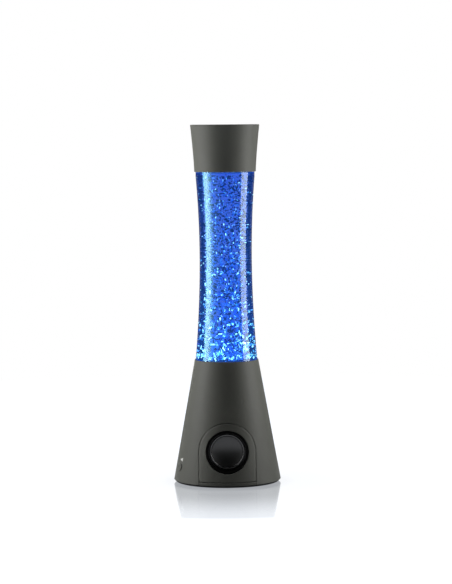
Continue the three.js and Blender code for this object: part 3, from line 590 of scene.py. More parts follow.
opening = lofted([
    [(0, opening_near, arch_centre)],
    opening_row(opening_near),
    opening_row(opening_far),
    [(0, opening_far, arch_centre)],
])
holes = joined(
    opening,
    post(button_hole, -8, 8, on_housing(button_azimuth, button_height), 96),
    post(inlet_hole, -8, 8, on_housing(inlet_azimuth, inlet_height), 64),
)
walls = combined(walls, holes)
ledge_low = 6.0
ledge_front = 1.9
ledge_back = 4.0
ledge_outside = -3
ledge_inside = 2.2
ledge = lofted([
    arch_row(ledge_outside, ledge_front, ledge_low),
    arch_row(ledge_inside, ledge_front),
    arch_row(ledge_inside, ledge_back),
    arch_row(ledge_outside, ledge_back, ledge_low),
], ring=True)
boss_root = 1.2
bosses = []
for azimuth in screw_azimuths:
    stand = at(azimuth, screw_circle)
    bosses.append(tube(inner=1.7, outer=4, low=3.5, high=20.5, stand=stand))
for x, z in board_bosses:
    stand = Matrix.Translation((x, board_front, z)) @ Matrix.Rotation(-math.pi / 2, 4, "X")
    far = math.sqrt((cone_radius(z) - boss_root) ** 2 - x * x) - board_front
    bosses.append(tube(inner=1.2, outer=3, low=0, high=far, stand=stand))
for side in button_bosses:
    stand = on_housing(button_azimuth, button_height) @ Matrix.Translation((side, 0, 0))
    bosses.append(post(radius=1.7, low=-10, high=-boss_root, stand=stand))
piece(
    "housing", joined(walls, ledge, *bosses), "base", "housing", marked_plastic, "base_shell"
)


# Front panel: an arched plate of the same grey plastic, bent to the cone. Its edge is
# rounded, so that a fine line of light runs inside the seam, and it has a round mouth.
mouth_radius = 21.9
plate_edge = (
    (0, panel_thickness), (0, 0.95), (0.08, 0.6), (0.28, 0.3), (0.56, 0.1), (0.9, 0), (1.3, 0)
)
mouth_edge = ((0.6, 0), (0.3, 0.03), (0.08, 0.14), (0, 0.35), (0, panel_thickness))


def mouth_row(radius, depth):
    return [on_cone(radius, a, depth) for a in arch_angles]


def rows_between(inset, radius, depth, count):
    """Rows from the arch inwards to a circle, without the first and the last."""
    return [
        [
            on_cone(arch_reach(a, inset) * (1 - k / count) + radius * k / count, a, depth)
            for a in arch_angles
        ]
        for k in range(1, count)
    ]


plate_rows = [arch_row(seam + inset, depth) for inset, depth in plate_edge]
plate_rows += rows_between(seam + plate_edge[-1][0], mouth_radius + mouth_edge[0][0], 0, 10)
plate_rows += [mouth_row(mouth_radius + more, depth) for more, depth in mouth_edge]
plate_rows += reversed(rows_between(seam, mouth_radius, panel_thickness, 5))
speaker_face = -40.63
face_gap = 0.3
ear_circle = 24.4
ear_root = 0.8
forwards = Matrix.Rotation(math.pi / 2, 4, "X")
ears = []
for angle in (0, 130, 230):
    turn = math.radians(angle)
    x, z = ear_circle * math.sin(turn), arch_centre + ear_circle * math.cos(turn)
    stand = Matrix.Translation((x, speaker_face - face_gap, z)) @ forwards
    far = math.sqrt((cone_radius(z) - ear_root) ** 2 - x * x) + speaker_face - face_gap
    ears.append(tube(inner=1.2, outer=2.2, low=0, high=far, stand=stand))
piece(
    "front_plate", joined(lofted(plate_rows, ring=True), *ears),
    "base", "housing", housing_plastic, "front_panel",
)


# Bezel: a tube of matt black plastic pushed into the mouth, its front cut to the cone
# and set a little back.
bezel_outer = 21.6
bezel_inner = 19.4
bezel_back = speaker_face - face_gap


def flat_row(radius, back):
    return [
        (radius * math.cos(a), back, arch_centre + radius * math.sin(a)) for a in arch_angles
    ]


bezel_black = moulded(
    "bezel black", shade(2, 2, 2), shade(6, 6, 6),
    gloss=(0.6, 0.8), grain=2300, depth=0.01, Specular_IOR_Level=0.06,
)
bezel_rows = [
    flat_row(bezel_outer, bezel_back),
    mouth_row(bezel_outer, 0.8),
    mouth_row(bezel_outer - 0.1, 0.5),
    mouth_row(bezel_outer - 0.4, 0.4),
    mouth_row(bezel_inner + 0.5, 0.4),
    mouth_row(bezel_inner + 0.12, 0.5),
    mouth_row(bezel_inner, 0.85),
    flat_row(bezel_inner, bezel_back),
]
piece(
    "bezel_ring", lofted(bezel_rows, ring=True),
    "base", "bezel_black", bezel_black, "speaker_bezel",
)


# Speaker: a half roll of black rubber carries a shallow dish of glossy black film. The
# dish is glued to the roll and to the coil's former behind it.
speaker_stand = Matrix.Translation((0, speaker_face, arch_centre)) @ forwards
roll_centre = 17.4
roll_radius = 1.45
roll_wall = 0.5
roll_base = 0.3
roll_inner = roll_radius - roll_wall
roll_lip = roll_centre + roll_inner + 0.75


def bow(centre, base, size, start, end, steps=18):
    """Points of an arc, from one angle to the other."""
    turn = [math.radians(start + (end - start) * i / steps) for i in range(steps + 1)]
    return [(centre + size * math.cos(a), base + size * math.sin(a)) for a in turn]


roll_profile = [
    *bow(roll_centre, roll_base, roll_inner, 180, 0),
    (roll_lip, roll_base),
    (roll_lip, roll_base + roll_wall),
    *bow(roll_centre, roll_base, roll_radius, 20, 180),
    (roll_centre - roll_inner, roll_base),
]
roll_rubber = moulded(
    "roll rubber", shade(60, 60, 62), shade(70, 70, 72),
    gloss=(0.18, 0.24), grain=2600, depth=0.004, IOR=2.2,
)
piece(
    "rubber_roll", turned(roll_profile, 192, speaker_stand),
    "base", "roll_rubber", roll_rubber, "speaker_surround",
)

dish_radius = 15.65
dish_depth = 4.2
dish_rim = 0.6
dish_thickness = 0.6
dish_curve = (dish_radius**2 + dish_depth**2) / (2 * dish_depth)


def dish_height(radius):
    return dish_rim - dish_depth + dish_curve - math.sqrt(dish_curve**2 - radius**2)


dish_rings = 40
dish_steps = [dish_radius * i / dish_rings for i in range(dish_rings + 1)]
dish_profile = [(r, dish_height(r) - dish_thickness) for r in dish_steps]
dish_profile += [(dish_radius + 0.1, dish_rim - 0.3)]
dish_profile += [(r, dish_height(r)) for r in reversed(dish_steps)]
dish_black = moulded(
    "dish black", shade(32, 32, 33), shade(40, 40, 41),
    gloss=(0.3, 0.38), grain=900, depth=0.002, IOR=1.92,
)
piece(
    "dish", turned(dish_profile, 192, speaker_stand),
    "speaker_cone", "dish_black", dish_black, "speaker_dish",
)


# Inside of the base: the speaker's motor, the circuit boards, leads, bulb holder and the
# screws. They keep their CAD shape and take the finish of what they are made of.
steel = moulded(
    "zinc plated steel", shade(158, 160, 163), shade(182, 184, 188),
    gloss=(0.28, 0.42), grain=1400, depth=0.004, Metallic=1.0,
)
aluminium = moulded(
    "bright aluminium", shade(196, 198, 201), shade(214, 216, 219),
    gloss=(0.22, 0.36), grain=900, depth=0.004, Metallic=1.0,
)
brass = moulded(
    "brass", shade(198, 160, 92), shade(214, 178, 112),
    gloss=(0.25, 0.4), grain=1200, depth=0.004, Metallic=1.0,
)
chip_black = moulded(
    "chip black", shade(22, 22, 24), shade(32, 32, 34),
    gloss=(0.5, 0.65), grain=1800, depth=0.01,
)
coil_paper = moulded(
    "varnished paper", shade(150, 88, 48), shade(176, 108, 60),
    gloss=(0.4, 0.6), grain=1500, depth=0.02,
)
ferrite = moulded(
    "ferrite", shade(44, 44, 47), shade(60, 60, 62),
    gloss=(0.6, 0.8), grain=1600, depth=0.03,
)
board_green = moulded(
    "board lacquer", shade(26, 84, 52), shade(36, 104, 64),
    gloss=(0.25, 0.4), grain=700, depth=0.008,
)
wire_black = moulded(
    "wire sleeve", shade(26, 26, 28), shade(40, 40, 42),
    gloss=(0.4, 0.55), grain=1200, depth=0.01,
)
ceramic = moulded(
    "ceramic", shade(222, 220, 210), shade(236, 234, 226),
    gloss=(0.3, 0.5), grain=800, depth=0.01,
)
for finish, names in (
    (steel, (
        "speaker_top_plate", "speaker_yoke", "inlet_pin", "inlet_nut", "holder_bracket",
        "bracket_screw_1", "bracket_screw_2", "board_screw_1", "board_screw_2",
        "speaker_screw_1", "speaker_screw_2", "speaker_screw_3",
    )),
    (chip_black, ("speaker_basket", "amplifier_chip", "push_switch", "switch_plunger")),
    (coil_paper, ("voice_coil", "speaker_spider")),
    (ferrite, ("speaker_magnet",)),
    (aluminium, ("capacitor_1", "capacitor_2")),
    (board_green, ("circuit_board", "button_board")),
    (wire_black, ("speaker_lead", "lamp_lead", "inlet_lead", "button_lead")),
    (ceramic, ("lamp_holder",)),
):
    for name in names:
        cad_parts[name].data.materials[0] = finish


# Bulb: a reflector lamp with a brass screw cap. Its sides are silvered inside and its
# domed front is frosted.
bulb_low = 40.3
bulb_contact = 2.5
thread_pitch = 2.2
thread_root = 6.1
thread_crest = 6.7
screw_profile = [
    (0, bulb_low), (bulb_contact, bulb_low), (bulb_contact, bulb_low + 2),
    (thread_root, bulb_low + 4),
]
for turn in range(4):
    base = bulb_low + 4.6 + turn * thread_pitch
    screw_profile += [(thread_root, base), (thread_crest, base + thread_pitch / 2)]
screw_profile += [(thread_root, bulb_low + 13.6), (6.5, bulb_low + 14.9), (0, bulb_low + 14.9)]
piece("bulb_cap", turned(eased(screw_profile), 64), "base", "brass", brass, "bulb_base")

head_low = 55.6
head_length = 50
head_radius = 19.5
head_side = 34
head_dome = head_length - head_side
head_widest = head_low + head_side
head_profile = [(0, head_low)]
for i in range(25):
    share = i / 25
    wider = (head_radius - thread_crest) * share * share * (3 - 2 * share)
    head_profile.append((thread_crest + wider, head_low + head_side * share))
for i in range(24):
    turn = math.pi / 2 * i / 24
    head_profile.append(
        (head_radius * math.cos(turn), head_widest + head_dome * math.sin(turn))
    )
head_profile.append((0, head_widest + head_dome))
bulb_glass, bulb_shader, place = new_finish("silvered bulb glass", Coat_Weight=0.6)
height = place.axis("Z")
frost_edge = 1
frost = height.smooth((head_widest - frost_edge) * mm, (head_widest + frost_edge) * mm)
grain = noise(place, 1500)
feed(
    bulb_shader,
    Base_Color=between(frost, shade(205, 206, 210), shade(238, 236, 228)),
    Metallic=1 - frost,
    Roughness=0.14 + frost * 0.3 + grain * 0.08,
    Normal=raised(grain, 0.01 * mm),
)
piece("bulb_head", turned(head_profile, 128), "base", "bulb_glass", bulb_glass, "bulb_envelope")


# Reflector: a spun aluminium cone round the bulb, which sends its light up. It has a
# narrow flange, screwed up under the shelf.
reflector_profile = eased([
    (22.6, 70, 0.2), (23.5, 70, 0.2), (25.4, 111.7, 0.6), (30, 111.7, 0.3), (30, 112.9, 0.3),
    (24.5, 112.9, 0.8),
], closed=True)
spun_metal, spun_shader, place = new_finish("spun aluminium", Metallic=1.0, Anisotropic=0.4)
height = place.axis("Z")
lines = noise(place.node("ShaderNodeCombineXYZ", sockets={"Z": height}), 3200, 1)
patches = noise(place, 60)
feed(
    spun_shader,
    Base_Color=between(patches, shade(196, 198, 200), shade(216, 218, 220)),
    Roughness=0.2 + lines * 0.16,
    Normal=raised(lines, 0.006 * mm),
)
piece(
    "reflector", turned(reflector_profile), "base", "aluminium", spun_metal, "reflector_cone"
)


# Screws under the shelf and under the base: zinc plated pan heads with a cross recess. Each
# set stands in a ring.


def tree_with(name, *inputs):
    """A geometry node tree with named inputs, and those inputs by name."""
    tree = bpy.data.node_groups.new(name, "GeometryNodeTree")
    for label, kind, value in inputs:
        item = tree.interface.new_socket(label, in_out="INPUT", socket_type="NodeSocket" + kind)
        if value is not None:
            item.default_value = value
    tree.interface.new_socket("Mesh", in_out="OUTPUT", socket_type="NodeSocketGeometry")
    entry = tree.nodes.new("NodeGroupInput")
    return tree, {label: Link(tree, entry.outputs[label]) for label, kind, value in inputs}


def ended(shape, finish):
    """Makes a tree's instances real, gives them their finish and ends the tree."""
    real = shape.node("GeometryNodeRealizeInstances", sockets={0: shape})
    coated = shape.node("GeometryNodeSetMaterial", sockets={"Geometry": real, "Material": finish})
    shape.node("NodeGroupOutput", sockets={"Mesh": coated})


def grown(name, tree, values, body, slot, *nodes):
    """Runs a tree once and keeps what it makes as a plain piece."""
    made = bpy.data.objects.new(name, bpy.data.meshes.new(name))
    scene.collection.objects.link(made)
    maker = made.modifiers.new("maker", "NODES")
    maker.node_group = tree
    for item in tree.interface.items_tree:
        if item.in_out == "INPUT" and item.name in values:
            maker[item.identifier] = values[item.name]
    shaped = made.evaluated_get(bpy.context.evaluated_depsgraph_get())
    data = bpy.data.meshes.new_from_object(shaped)
    made.modifiers.clear()
    made.data = data
    data.name = name
    data.shade_smooth()
    data.set_sharp_from_angle(angle=crease)
    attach(made, body)
    if nodes:
        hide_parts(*nodes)
    return made


ring_tree, ring_in = tree_with(
    "ring of pieces",
    ("Shape", "Object", None),
    ("Count", "Int", 4),
    ("Radius", "Float", 0.04),
    ("First", "Float", 0.0),
    ("Finish", "Material", None),
)
index = ring_in["Count"].node("GeometryNodeInputIndex")
turn = ring_in["First"] + index * math.tau * (ring_in["Count"] ** -1)
spot = turn.node("ShaderNodeCombineXYZ", sockets={
    "X": ring_in["Radius"] * turn.math("SINE", turn),
    "Y": ring_in["Radius"] * turn.math("COSINE", turn) * -1,
})
spots = turn.node("GeometryNodePoints", sockets={"Count": ring_in["Count"], "Position": spot})
model = {"Object": ring_in["Shape"]}
copied = turn.node("GeometryNodeObjectInfo", sockets=model, output="Geometry")
facing = turn.node("ShaderNodeCombineXYZ", sockets={"Z": turn})
placed = turn.node("GeometryNodeInstanceOnPoints", sockets={
    "Points": spots,
    "Instance": copied,
    "Rotation": turn.node("FunctionNodeEulerToRotation", sockets={0: facing}),
})
ended(placed, ring_in["Finish"])


def ring_of(name, mesh, count, radius, first, finish, body, slot, *nodes):
    """Sets copies of a small mesh in a ring."""
    model = bpy.data.objects.new("model", bpy.data.meshes.new("model"))
    mesh.to_mesh(model.data)
    mesh.free()
    scene.collection.objects.link(model)
    values = {
        "Shape": model, "Count": count, "Radius": radius * mm,
        "First": math.radians(first), "Finish": finish,
    }
    made = grown(name, ring_tree, values, body, slot, *nodes)
    data = model.data
    bpy.data.objects.remove(model)
    bpy.data.meshes.remove(data)
    return made


def pan_screw(head, thickness, shank, face, length):
    """A screw, head down, with a cross recess in its head."""
    profile = eased([
        (0, face - thickness), (head, face - thickness, head * 0.5), (head, face, 0.1),
        (shank, face), (shank, face + length, 0.3), (0, face + length),
    ])
    low, high = (face - thickness - 1) * mm, (face - thickness * 0.45) * mm
    narrow, wide = head * 0.44 * mm, head * 1.24 * mm
    slots = bmesh.new()
    for across, along in ((narrow, wide), (wide, narrow)):
        size = Matrix.Diagonal((across, along, high - low, 1))
        place = Matrix.Translation((0, 0, (low + high) / 2))
        bmesh.ops.create_cube(slots, size=1, matrix=place @ size)
    return combined(turned(profile, 32), slots)


reflector_screw_circle = 27.4
reflector_screw = pan_screw(head=1.8, thickness=1.2, shank=0.9, face=111.4, length=3.4)
ring_of(
    "reflector_screws", reflector_screw, 3, reflector_screw_circle, 60, steel,
    "base", "steel", "reflector_screw_1", "reflector_screw_2", "reflector_screw_3",
)
cover_screw = pan_screw(head=2.6, thickness=1.6, shank=1.4, face=2.2, length=11.7)
ring_of(
    "cover_screws", cover_screw, 4, screw_circle, screw_azimuths[0], steel,
    "base", "steel", "cover_screw_1", "cover_screw_2", "cover_screw_3", "cover_screw_4",
)


# Bottom cover: black moulded plastic that closes the base. Its edge flares out under the
# housing, a lip fills the foot of the arch, and slots let warm air in.
cover_low = 0.6
cover_shoulder = 2.4
cover_high = 3.2
spigot_high = 5.4
spigot_radius = cone_radius(spigot_high) - housing_wall - 0.3
spigot_wall = 2
foot_circle = 44
foot_azimuths = (0, 90, 180, 270)
slot_count = 8
slot_circle = 23
slot_width = 3
slot_length = 22
slot_cut = 8
cover_black = moulded(
    "cover black", shade(20, 20, 21), shade(30, 30, 31),
    gloss=(0.45, 0.6), grain=1900, depth=0.014, Specular_IOR_Level=0.12,
)
plate = turned(eased([
    (0, cover_low), (52.9, cover_low, 0.4), (55.0, cover_shoulder, 0.25),
    (spigot_radius, cover_shoulder), (spigot_radius, spigot_high, 0.3),
    (spigot_radius - spigot_wall, spigot_high, 0.3),
    (spigot_radius - spigot_wall, cover_high, 0.5), (0, cover_high),
]), 256)
pockets = []
for azimuth in foot_azimuths:
    stand = at(azimuth, foot_circle)
    pockets.append(post(radius=5.3, low=-1, high=2.1, stand=stand, sides=48))
for azimuth in screw_azimuths:
    stand = at(azimuth, screw_circle)
    pockets.append(post(radius=2.9, low=-1, high=2.5, stand=stand, sides=32))
    pockets.append(post(radius=1.7, low=2.3, high=8, stand=stand))
for k in range(slot_count):
    slot_shape = bmesh.new()
    size = Matrix.Diagonal((slot_width * mm, slot_length * mm, slot_cut * mm, 1))
    stand = at(360 * (k + 0.5) / slot_count, slot_circle * mm, 2 * mm)
    bmesh.ops.create_cube(slot_shape, size=1, matrix=stand @ size)
    pockets.append(slot_shape)
plate = combined(plate, joined(*pockets))
lip_half = arch_half - 0.3
lip_low = 2.5
lip_high = 5.6
lip_depth = 2.6
lip_steps = [-lip_half + 2 * lip_half * i / 96 for i in range(97)]
lip_corners = eased([
    (lip_depth, lip_low, 0.2), (0.35, lip_low, 0.4), (0, lip_high, 0.45),
    (lip_depth, lip_high, 0.2),
], closed=True)


def lip_row(x):
    row = []
    for depth, z in lip_corners:
        radius = min(cone_radius(z), cone_radius(foot_height) - 0.1) - depth
        row.append((x, -math.sqrt(radius**2 - x * x), z))
    return row


def lip_end(x):
    """One point that closes the lip's end."""
    return [(x, lip_row(x)[0][1] + 0.8, (lip_low + lip_high) / 2)]


lip = lofted([lip_end(-lip_half), *[lip_row(x) for x in lip_steps], lip_end(lip_half)])
bracket_posts = (-22, 22)
posts = [
    tube(inner=1.7, outer=3.6, low=2.6, high=17.9, stand=Matrix.Translation((side, 0, 0)))
    for side in bracket_posts
]
piece("base_cover", joined(plate, *posts), "base", "cover_black", cover_black, "bottom_cover")
piece("front_lip", lip, "base", "housing", housing_plastic, "bottom_cover")


# Feet: four round pads of soft black rubber that the lamp stands on. They are glued into
# pockets of the cover.
soft_black = moulded(
    "soft black rubber", shade(32, 32, 33), shade(44, 44, 45),
    gloss=(0.6, 0.75), grain=1500, depth=0.03,
)
foot = turned(eased([(0, 0), (5, 0, 0.5), (5, 1.8, 0.2), (0, 1.8)]), 40)
ring_of(
    "rubber_feet", foot, 4, foot_circle, foot_azimuths[0], soft_black,
    "base", "soft_rubber", "foot_1", "foot_2", "foot_3", "foot_4",
)


# Power button: a round cap of the housing's plastic, low on the left side. It stands a
# little proud of the cone and moves into it.
button_stand = on_housing(button_azimuth, button_height)
button_profile = [
    (0, -4.4), (4.9, -4.4, 0.2), (4.9, -3.3, 0.2), (3.75, -3.3), (3.75, 0.8, 0.45), (2.8, 0.78),
    (2.0, 0.62), (0, 0.54),
]
piece(
    "button", turned(eased(button_profile), 96, button_stand),
    "power_button", "housing", housing_plastic, "power_button",
)


# Power inlet: a black threaded barrel with a round flange, pushed in from the back and
# held by a nut inside. Its socket has a steel pin.
inlet_stand = on_housing(inlet_azimuth, inlet_height)
inlet_barrel = 3.9
inlet_root = 3.7
inlet_pitch = 1.05
inlet_profile = [(0, -14), (3.75, -14, 0.3)]
for k in range(12):
    crest = -13.3 + k * inlet_pitch
    inlet_profile += [(inlet_barrel, crest), (inlet_root, crest + 0.5)]
inlet_profile += [
    (inlet_barrel, 0.3), (5.6, 0.3, 0.15), (5.6, 1.3, 0.4), (2.75, 1.3, 0.3), (2.75, -7.7),
    (0, -7.7),
]
piece(
    "inlet_socket", turned(eased(inlet_profile), 64, inlet_stand),
    "base", "chip", chip_black, "dc_inlet",
)


# Seat ring: a flat ring of soft black rubber, laid on the shelf of the housing. The vessel
# stands on it, loose.
seat_profile = eased([
    (25.26, 116.1, 0.3), (31.86, 116.1, 0.3), (31.86, 118.3, 0.5), (25.26, 118.3, 0.5)
], closed=True)
piece(
    "seat", turned(seat_profile), "base", "soft_rubber", soft_black, "vessel_seat_ring"
)


# Vessel: a blown hourglass bottle of clear glass with a short neck. Its waist is a little
# under half way up, and its band goes straight into the cap.
vessel_low = 118.6
vessel_foot = 31.86
flare_start = 127.8
waist_height = 233.8
waist_radius = 26.94
band_height = 316.5
band_radius = 30.4
shoulder_height = 327
shoulder_bow = 8
neck_radius = 13
neck_low = 338
neck_high = 352
glass_wall = 2.4
glass_floor = 4
foot_flare = 1.9
band_flare = 2.0
foot_bow = 3.9
inner_bow = 3.6


def vessel_radius(height):
    """Outer radius of the hourglass."""
    if height < waist_height:
        share = min(1, (waist_height - height) / (waist_height - flare_start))
        return waist_radius + (vessel_foot - waist_radius) * share**foot_flare
    share = min(1, (height - waist_height) / (band_height - waist_height))
    return waist_radius + (band_radius - waist_radius) * share**band_flare


def hourglass(inset, low, high, steps=72):
    heights = [low + (high - low) * i / steps for i in range(steps + 1)]
    return [(vessel_radius(z) - inset, z) for z in heights]


inner_foot = vessel_foot - glass_wall - inner_bow
inner_low = vessel_low + glass_floor
outside = [
    (0, vessel_low + 0.5), (14, vessel_low + 0.35), (24, vessel_low),
    *bow(vessel_foot - foot_bow, vessel_low + foot_bow, foot_bow, -90, 0, 12),
    *hourglass(0, flare_start, band_height),
    *bow(band_radius - shoulder_bow, shoulder_height, shoulder_bow, 0, 84, 14),
    (14.2, shoulder_height + shoulder_bow + 0.9),
    (neck_radius + 0.25, neck_low - 1.2),
    (neck_radius, neck_low + 0.6),
    (neck_radius, neck_high - 0.5),
    (neck_radius - 0.5, neck_high),
]
inside = [
    (neck_radius - glass_wall + 0.5, neck_high),
    (neck_radius - glass_wall, neck_high - 0.5),
    (neck_radius - glass_wall, neck_low - 2.6),
    *bow(band_radius - shoulder_bow, shoulder_height, shoulder_bow - glass_wall, 84, 0, 14),
    *hourglass(glass_wall, band_height, flare_start),
    *bow(inner_foot, inner_low + inner_bow, inner_bow, 0, -90, 12),
    (0, inner_low + 0.3),
]
clear_glass, glass_shader, place = new_finish(
    "clear glass", Roughness=0.0, Transmission_Weight=1.0, IOR=1.47
)
flow = noise(place, 28, 2)
ripple = noise(place, 240, 1)
feed(
    glass_shader,
    Base_Color=between(flow, shade(250, 252, 255), shade(244, 249, 255)),
    Normal=raised(ripple, 0.01 * mm, raised(flow, 0.02 * mm)),
)
piece(
    "glass_bottle", turned(outside + inside, 192), "vessel", "glass", clear_glass, "glass_vessel"
)


# Liquid: clear water dyed deep blue, which fills the vessel to the cap's lip. It climbs the
# glass at its edge. Its surface has a faint painted blue glow, brightest at the foot, which
# stands in for the bulb's light from below.
overlap = 0.05
wet = glass_wall - overlap
liquid_level = 320.1
liquid_edge = ((0, 1.2), (0.3, 1.3), (0.8, 0.7), (2.0, 0.2), (4.0, 0))
liquid_foot = inner_foot + overlap
liquid_low = inner_low - overlap
liquid_profile = [
    (0, liquid_low + 0.3),
    (liquid_foot, liquid_low),
    *bow(liquid_foot, liquid_low + inner_bow, inner_bow, -90, 0, 12)[1:],
    *hourglass(wet, flare_start, band_height),
    *[(band_radius - wet - inwards, liquid_level + up) for inwards, up in liquid_edge],
    (0, liquid_level),
]
dyed_liquid, liquid_shader, place = new_finish(
    "dyed liquid", Roughness=0.0, Transmission_Weight=1.0, IOR=1.35, Emission_Strength=1.0
)
cloud = noise(place, 30, 2)
height = place.axis("Z")
# Painted light: this emission stands in for the bulb's light in the liquid, brightest at the
# foot, with patches at random.
painted_foot_light = (0.012, 0.06, 0.17, 1)
painted_waist_light = (0.004, 0.034, 0.12, 1)
painted_top_light = (0.003, 0.02, 0.1, 1)
painted_cloud_light = (0.003, 0.03, 0.13, 1)
painted_glow = between(height.smooth(200 * mm, 320 * mm), painted_waist_light, painted_top_light)
painted_glow = between(height.smooth(130 * mm, 220 * mm), painted_foot_light, painted_glow)
painted_glow = between(cloud, painted_glow, painted_cloud_light)
feed(
    liquid_shader,
    Base_Color=between(cloud, shade(246, 250, 255), shade(236, 246, 255)),
    Emission_Color=painted_glow,
)
dye = Link(dyed_liquid.node_tree).node(
    "ShaderNodeVolumeAbsorption", sockets={"Color": (0.02, 0.30, 0.85, 1), "Density": 55.0}
)
ending = dyed_liquid.node_tree.nodes["Material Output"]
dyed_liquid.node_tree.links.new(dye.socket, ending.inputs["Volume"])
piece(
    "blue_liquid", turned(liquid_profile, 192), "vessel", "liquid", dyed_liquid, "liquid"
)


# Glitter: thousands of thin curved flakes of plastic film that drift in the liquid. Most
# look dark against the light, and the bright ones lie thickest near the foot. Each flake has a
# painted glow for the light it catches: faint on the dark ones, and strong painted glints on
# the bright ones.
glitter_tree, glitter_in = tree_with(
    "glitter",
    ("Count", "Int", 100),
    ("Seed", "Int", 1),
    ("Low", "Float", 0.1),
    ("High", "Float", 0.3),
    ("Crowding", "Float", 1.0),
    ("Spread", "Float", 0.5),
    ("Reach", "Float", 1.0),
    ("Length", "Float", 0.001),
    ("Width", "Float", 0.0007),
    ("Thickness", "Float", 0.00006),
    ("Bend", "Float", 100.0),
    ("Growth", "Float", 0.0),
    ("Finish", "Material", None),
)


def chance(low, high, salt, kind="FLOAT"):
    """A random value for each flake."""
    spots = {"FLOAT": (2, 3, 1), "FLOAT_VECTOR": (0, 1, 0)}[kind]
    sockets = {spots[0]: low, spots[1]: high, "Seed": glitter_in["Seed"] + salt}
    start = glitter_in["Seed"]
    return start.node("FunctionNodeRandomValue", {"data_type": kind}, sockets, spots[2])


glass_gap = 1.0
below = 1 / ((waist_height - flare_start) * mm)
beyond = 1 / ((band_height - waist_height) * mm)
room_up = glitter_in["High"] - glitter_in["Low"]
share = chance(0.0, 1.0, 1) ** glitter_in["Crowding"]
height = glitter_in["Low"] + room_up * share
under = height.math("MAXIMUM", waist_height * mm - height, 0.0)
over = height.math("MAXIMUM", height - waist_height * mm, 0.0)
room_out = (
    (waist_radius - glass_wall - glass_gap) * mm
    + (vessel_foot - waist_radius) * mm * (under * below) ** foot_flare
    + (band_radius - waist_radius) * mm * (over * beyond) ** band_flare
)
reach = room_out * glitter_in["Reach"] * chance(0.0, 1.0, 2) ** glitter_in["Spread"]
turn = chance(0.0, math.tau, 3)
spot = turn.node("ShaderNodeCombineXYZ", sockets={
    "X": reach * turn.math("COSINE", turn),
    "Y": reach * turn.math("SINE", turn),
    "Z": height,
})
spots = turn.node("GeometryNodePoints", sockets={"Count": glitter_in["Count"], "Position": spot})
size = turn.node("ShaderNodeCombineXYZ", sockets={
    "X": glitter_in["Length"], "Y": glitter_in["Width"], "Z": glitter_in["Thickness"]
})
film = turn.node("GeometryNodeMeshCube", sockets={
    "Size": size, "Vertices X": 4, "Vertices Y": 2, "Vertices Z": 2
})
own_x = turn.node("GeometryNodeInputPosition").axis("X")
lift = turn.node("ShaderNodeCombineXYZ", sockets={"Z": own_x * own_x * glitter_in["Bend"]})
flake = turn.node("GeometryNodeSetPosition", sockets={"Geometry": film, "Offset": lift})
tumble = chance((0.0, 0.0, 0.0), (math.tau, math.tau, math.tau), 4, "FLOAT_VECTOR")
placed = turn.node("GeometryNodeInstanceOnPoints", sockets={
    "Points": spots,
    "Instance": flake,
    "Rotation": turn.node("FunctionNodeEulerToRotation", sockets={0: tumble}),
    "Scale": chance(0.55, 1.35, 5) * (1 + glitter_in["Growth"] * (1 - share)),
})
ended(placed, glitter_in["Finish"])


def film_finish(name, metallic, patches, edges, dark, light, gloss, painted_glow):
    """Shiny film in two colours, each with a painted glow that stands in for the light it
    catches.
    """
    material, shader, place = new_finish(name, Metallic=metallic, Emission_Strength=1.0)
    tint = noise(place, patches, 1).smooth(*edges)
    feed(
        shader,
        Base_Color=between(tint, dark, light),
        Roughness=gloss[0] + tint * (gloss[1] - gloss[0]),
        Emission_Color=between(tint, *painted_glow),
    )
    return material


# Painted light: each glow below stands in for the bulb's light and for glints on the flakes.
dark_flake = film_finish(
    "dark glitter", metallic=0.3, patches=420, edges=(0.3, 0.7),
    dark=shade(4, 14, 62), light=shade(12, 36, 112), gloss=(0.3, 0.5),
    painted_glow=((0.0, 0.003, 0.03, 1), (0.001, 0.012, 0.09, 1)),
)
bright_flake = film_finish(
    "bright glitter", metallic=0.6, patches=380, edges=(0.36, 0.66),
    dark=shade(90, 190, 235), light=shade(205, 235, 250), gloss=(0.25, 0.4),
    painted_glow=((0.06, 0.75, 1.1, 1), (1.5, 3.2, 2.7, 1)),
)
blue_flake = film_finish(
    "blue glitter", metallic=0.4, patches=340, edges=(0.34, 0.68),
    dark=shade(24, 60, 170), light=shade(60, 120, 225), gloss=(0.3, 0.45),
    painted_glow=((0.03, 0.13, 0.6, 1), (0.1, 0.42, 1.0, 1)),
)
grown("dark_glitter", glitter_tree, {
    "Count": 3900, "Seed": 11, "Low": 128 * mm, "High": 318.4 * mm, "Crowding": 0.95,
    "Spread": 0.25, "Length": 1.8 * mm, "Width": 1.3 * mm, "Thickness": 0.06 * mm,
    "Bend": 60.0, "Growth": 0.0, "Finish": dark_flake,
}, "vessel", "liquid")
grown("blue_glitter", glitter_tree, {
    "Count": 1200, "Seed": 47, "Low": 128 * mm, "High": 313 * mm, "Crowding": 1.8,
    "Spread": 0.5, "Reach": 0.6, "Length": 2.0 * mm, "Width": 1.2 * mm, "Thickness": 0.06 * mm,
    "Bend": 80.0, "Growth": 0.5, "Finish": blue_flake,
}, "vessel", "liquid")
grown("bright_glitter", glitter_tree, {
    "Count": 640, "Seed": 29, "Low": 129 * mm, "High": 318 * mm, "Crowding": 1.8,
    "Spread": 0.45, "Length": 1.2 * mm, "Width": 0.5 * mm, "Thickness": 0.07 * mm,
    "Bend": 130.0, "Growth": 1.9, "Finish": bright_flake,
}, "vessel", "liquid")


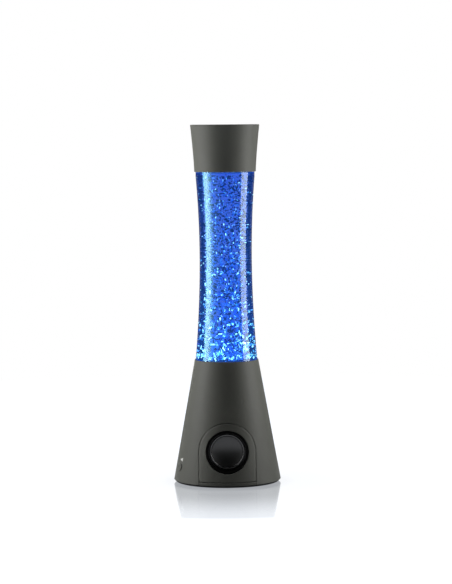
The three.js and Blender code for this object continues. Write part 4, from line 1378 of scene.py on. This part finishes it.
# Stopper and closure: a plug of black rubber in the neck, under a ribbed screw closure of
# white plastic.
stopper_profile = eased([
    (0, 345), (10.3, 345, 0.5), (10.3, 352.3), (13, 352.3, 0.2), (13, 353.8, 0.2), (0, 353.8)
])
piece(
    "neck_plug", turned(stopper_profile, 96), "vessel", "soft_rubber", soft_black,
    "vessel_stopper",
)
closure_white = moulded(
    "closure white", shade(206, 206, 200), shade(220, 220, 214),
    gloss=(0.4, 0.55), grain=1600, depth=0.012,
)
closure_profile = eased([
    (0, 354.1), (13.3, 354.1), (13.3, 341.5, 0.3), (14.9, 341.5, 0.3), (14.9, 356.0, 0.8),
    (0, 356.0),
])
piece(
    "closure", turned(closure_profile, 160), "vessel", "closure_white", closure_white,
    "vessel_closure",
)
rib_count = 60
rib_circle = 14.88
rib = turned(eased([(0, 342.6), (0.35, 343.2, 0.2), (0.35, 354.2, 0.2), (0, 354.9)]), 6)
ring_of(
    "closure_ribs", rib, rib_count, rib_circle, 0, closure_white, "vessel", "closure_white"
)


# Cap: a thin walled cup of the housing's plastic, closed at the top and flared like the
# base turned over. A flange inside rests on a rubber ring on the vessel's shoulder.
lip_height = 321.6
cap_high = 370
cap_lip = 31.8
cap_flare = 3.9
cap_bow = 1.34
cap_wall = 1.1
cap_ceiling = 367.8
flange_low = 337.5
flange_high = 339.3
flange_hole = 23.5


def cap_radius(height):
    share = (height - lip_height) / (cap_high - lip_height)
    return cap_lip + cap_flare * share**cap_bow


cap_edge = 1.5
cap_bend = cap_high - cap_edge
cap_steps = [lip_height + (cap_bend - lip_height) * i / 40 for i in range(1, 41)]
cap_profile = eased([
    (0, cap_ceiling),
    *[(cap_radius(z) - cap_wall, z) for z in (cap_ceiling, 354, flange_high)],
    (flange_hole, flange_high, 0.4),
    (flange_hole, flange_low, 0.4),
    *[(cap_radius(z) - cap_wall, z) for z in (flange_low, 330)],
    (cap_lip - cap_wall, lip_height, 0.3),
    (cap_lip, lip_height, 0.3),
    *[(cap_radius(z), z) for z in cap_steps],
    (cap_radius(cap_high), cap_high, cap_edge),
    (0, cap_high),
])
piece("cap", turned(cap_profile, 256), "cap", "housing", housing_plastic, "cap_shell")
cap_ring_profile = eased([
    (23.5, 335.2, 0.4), (31.0, 335.2, 0.3), (31.0, 337.2, 0.3), (23.5, 337.2, 0.4)
], closed=True)
piece(
    "cap_seat", turned(cap_ring_profile), "cap", "soft_rubber", soft_black, "cap_ring"
)
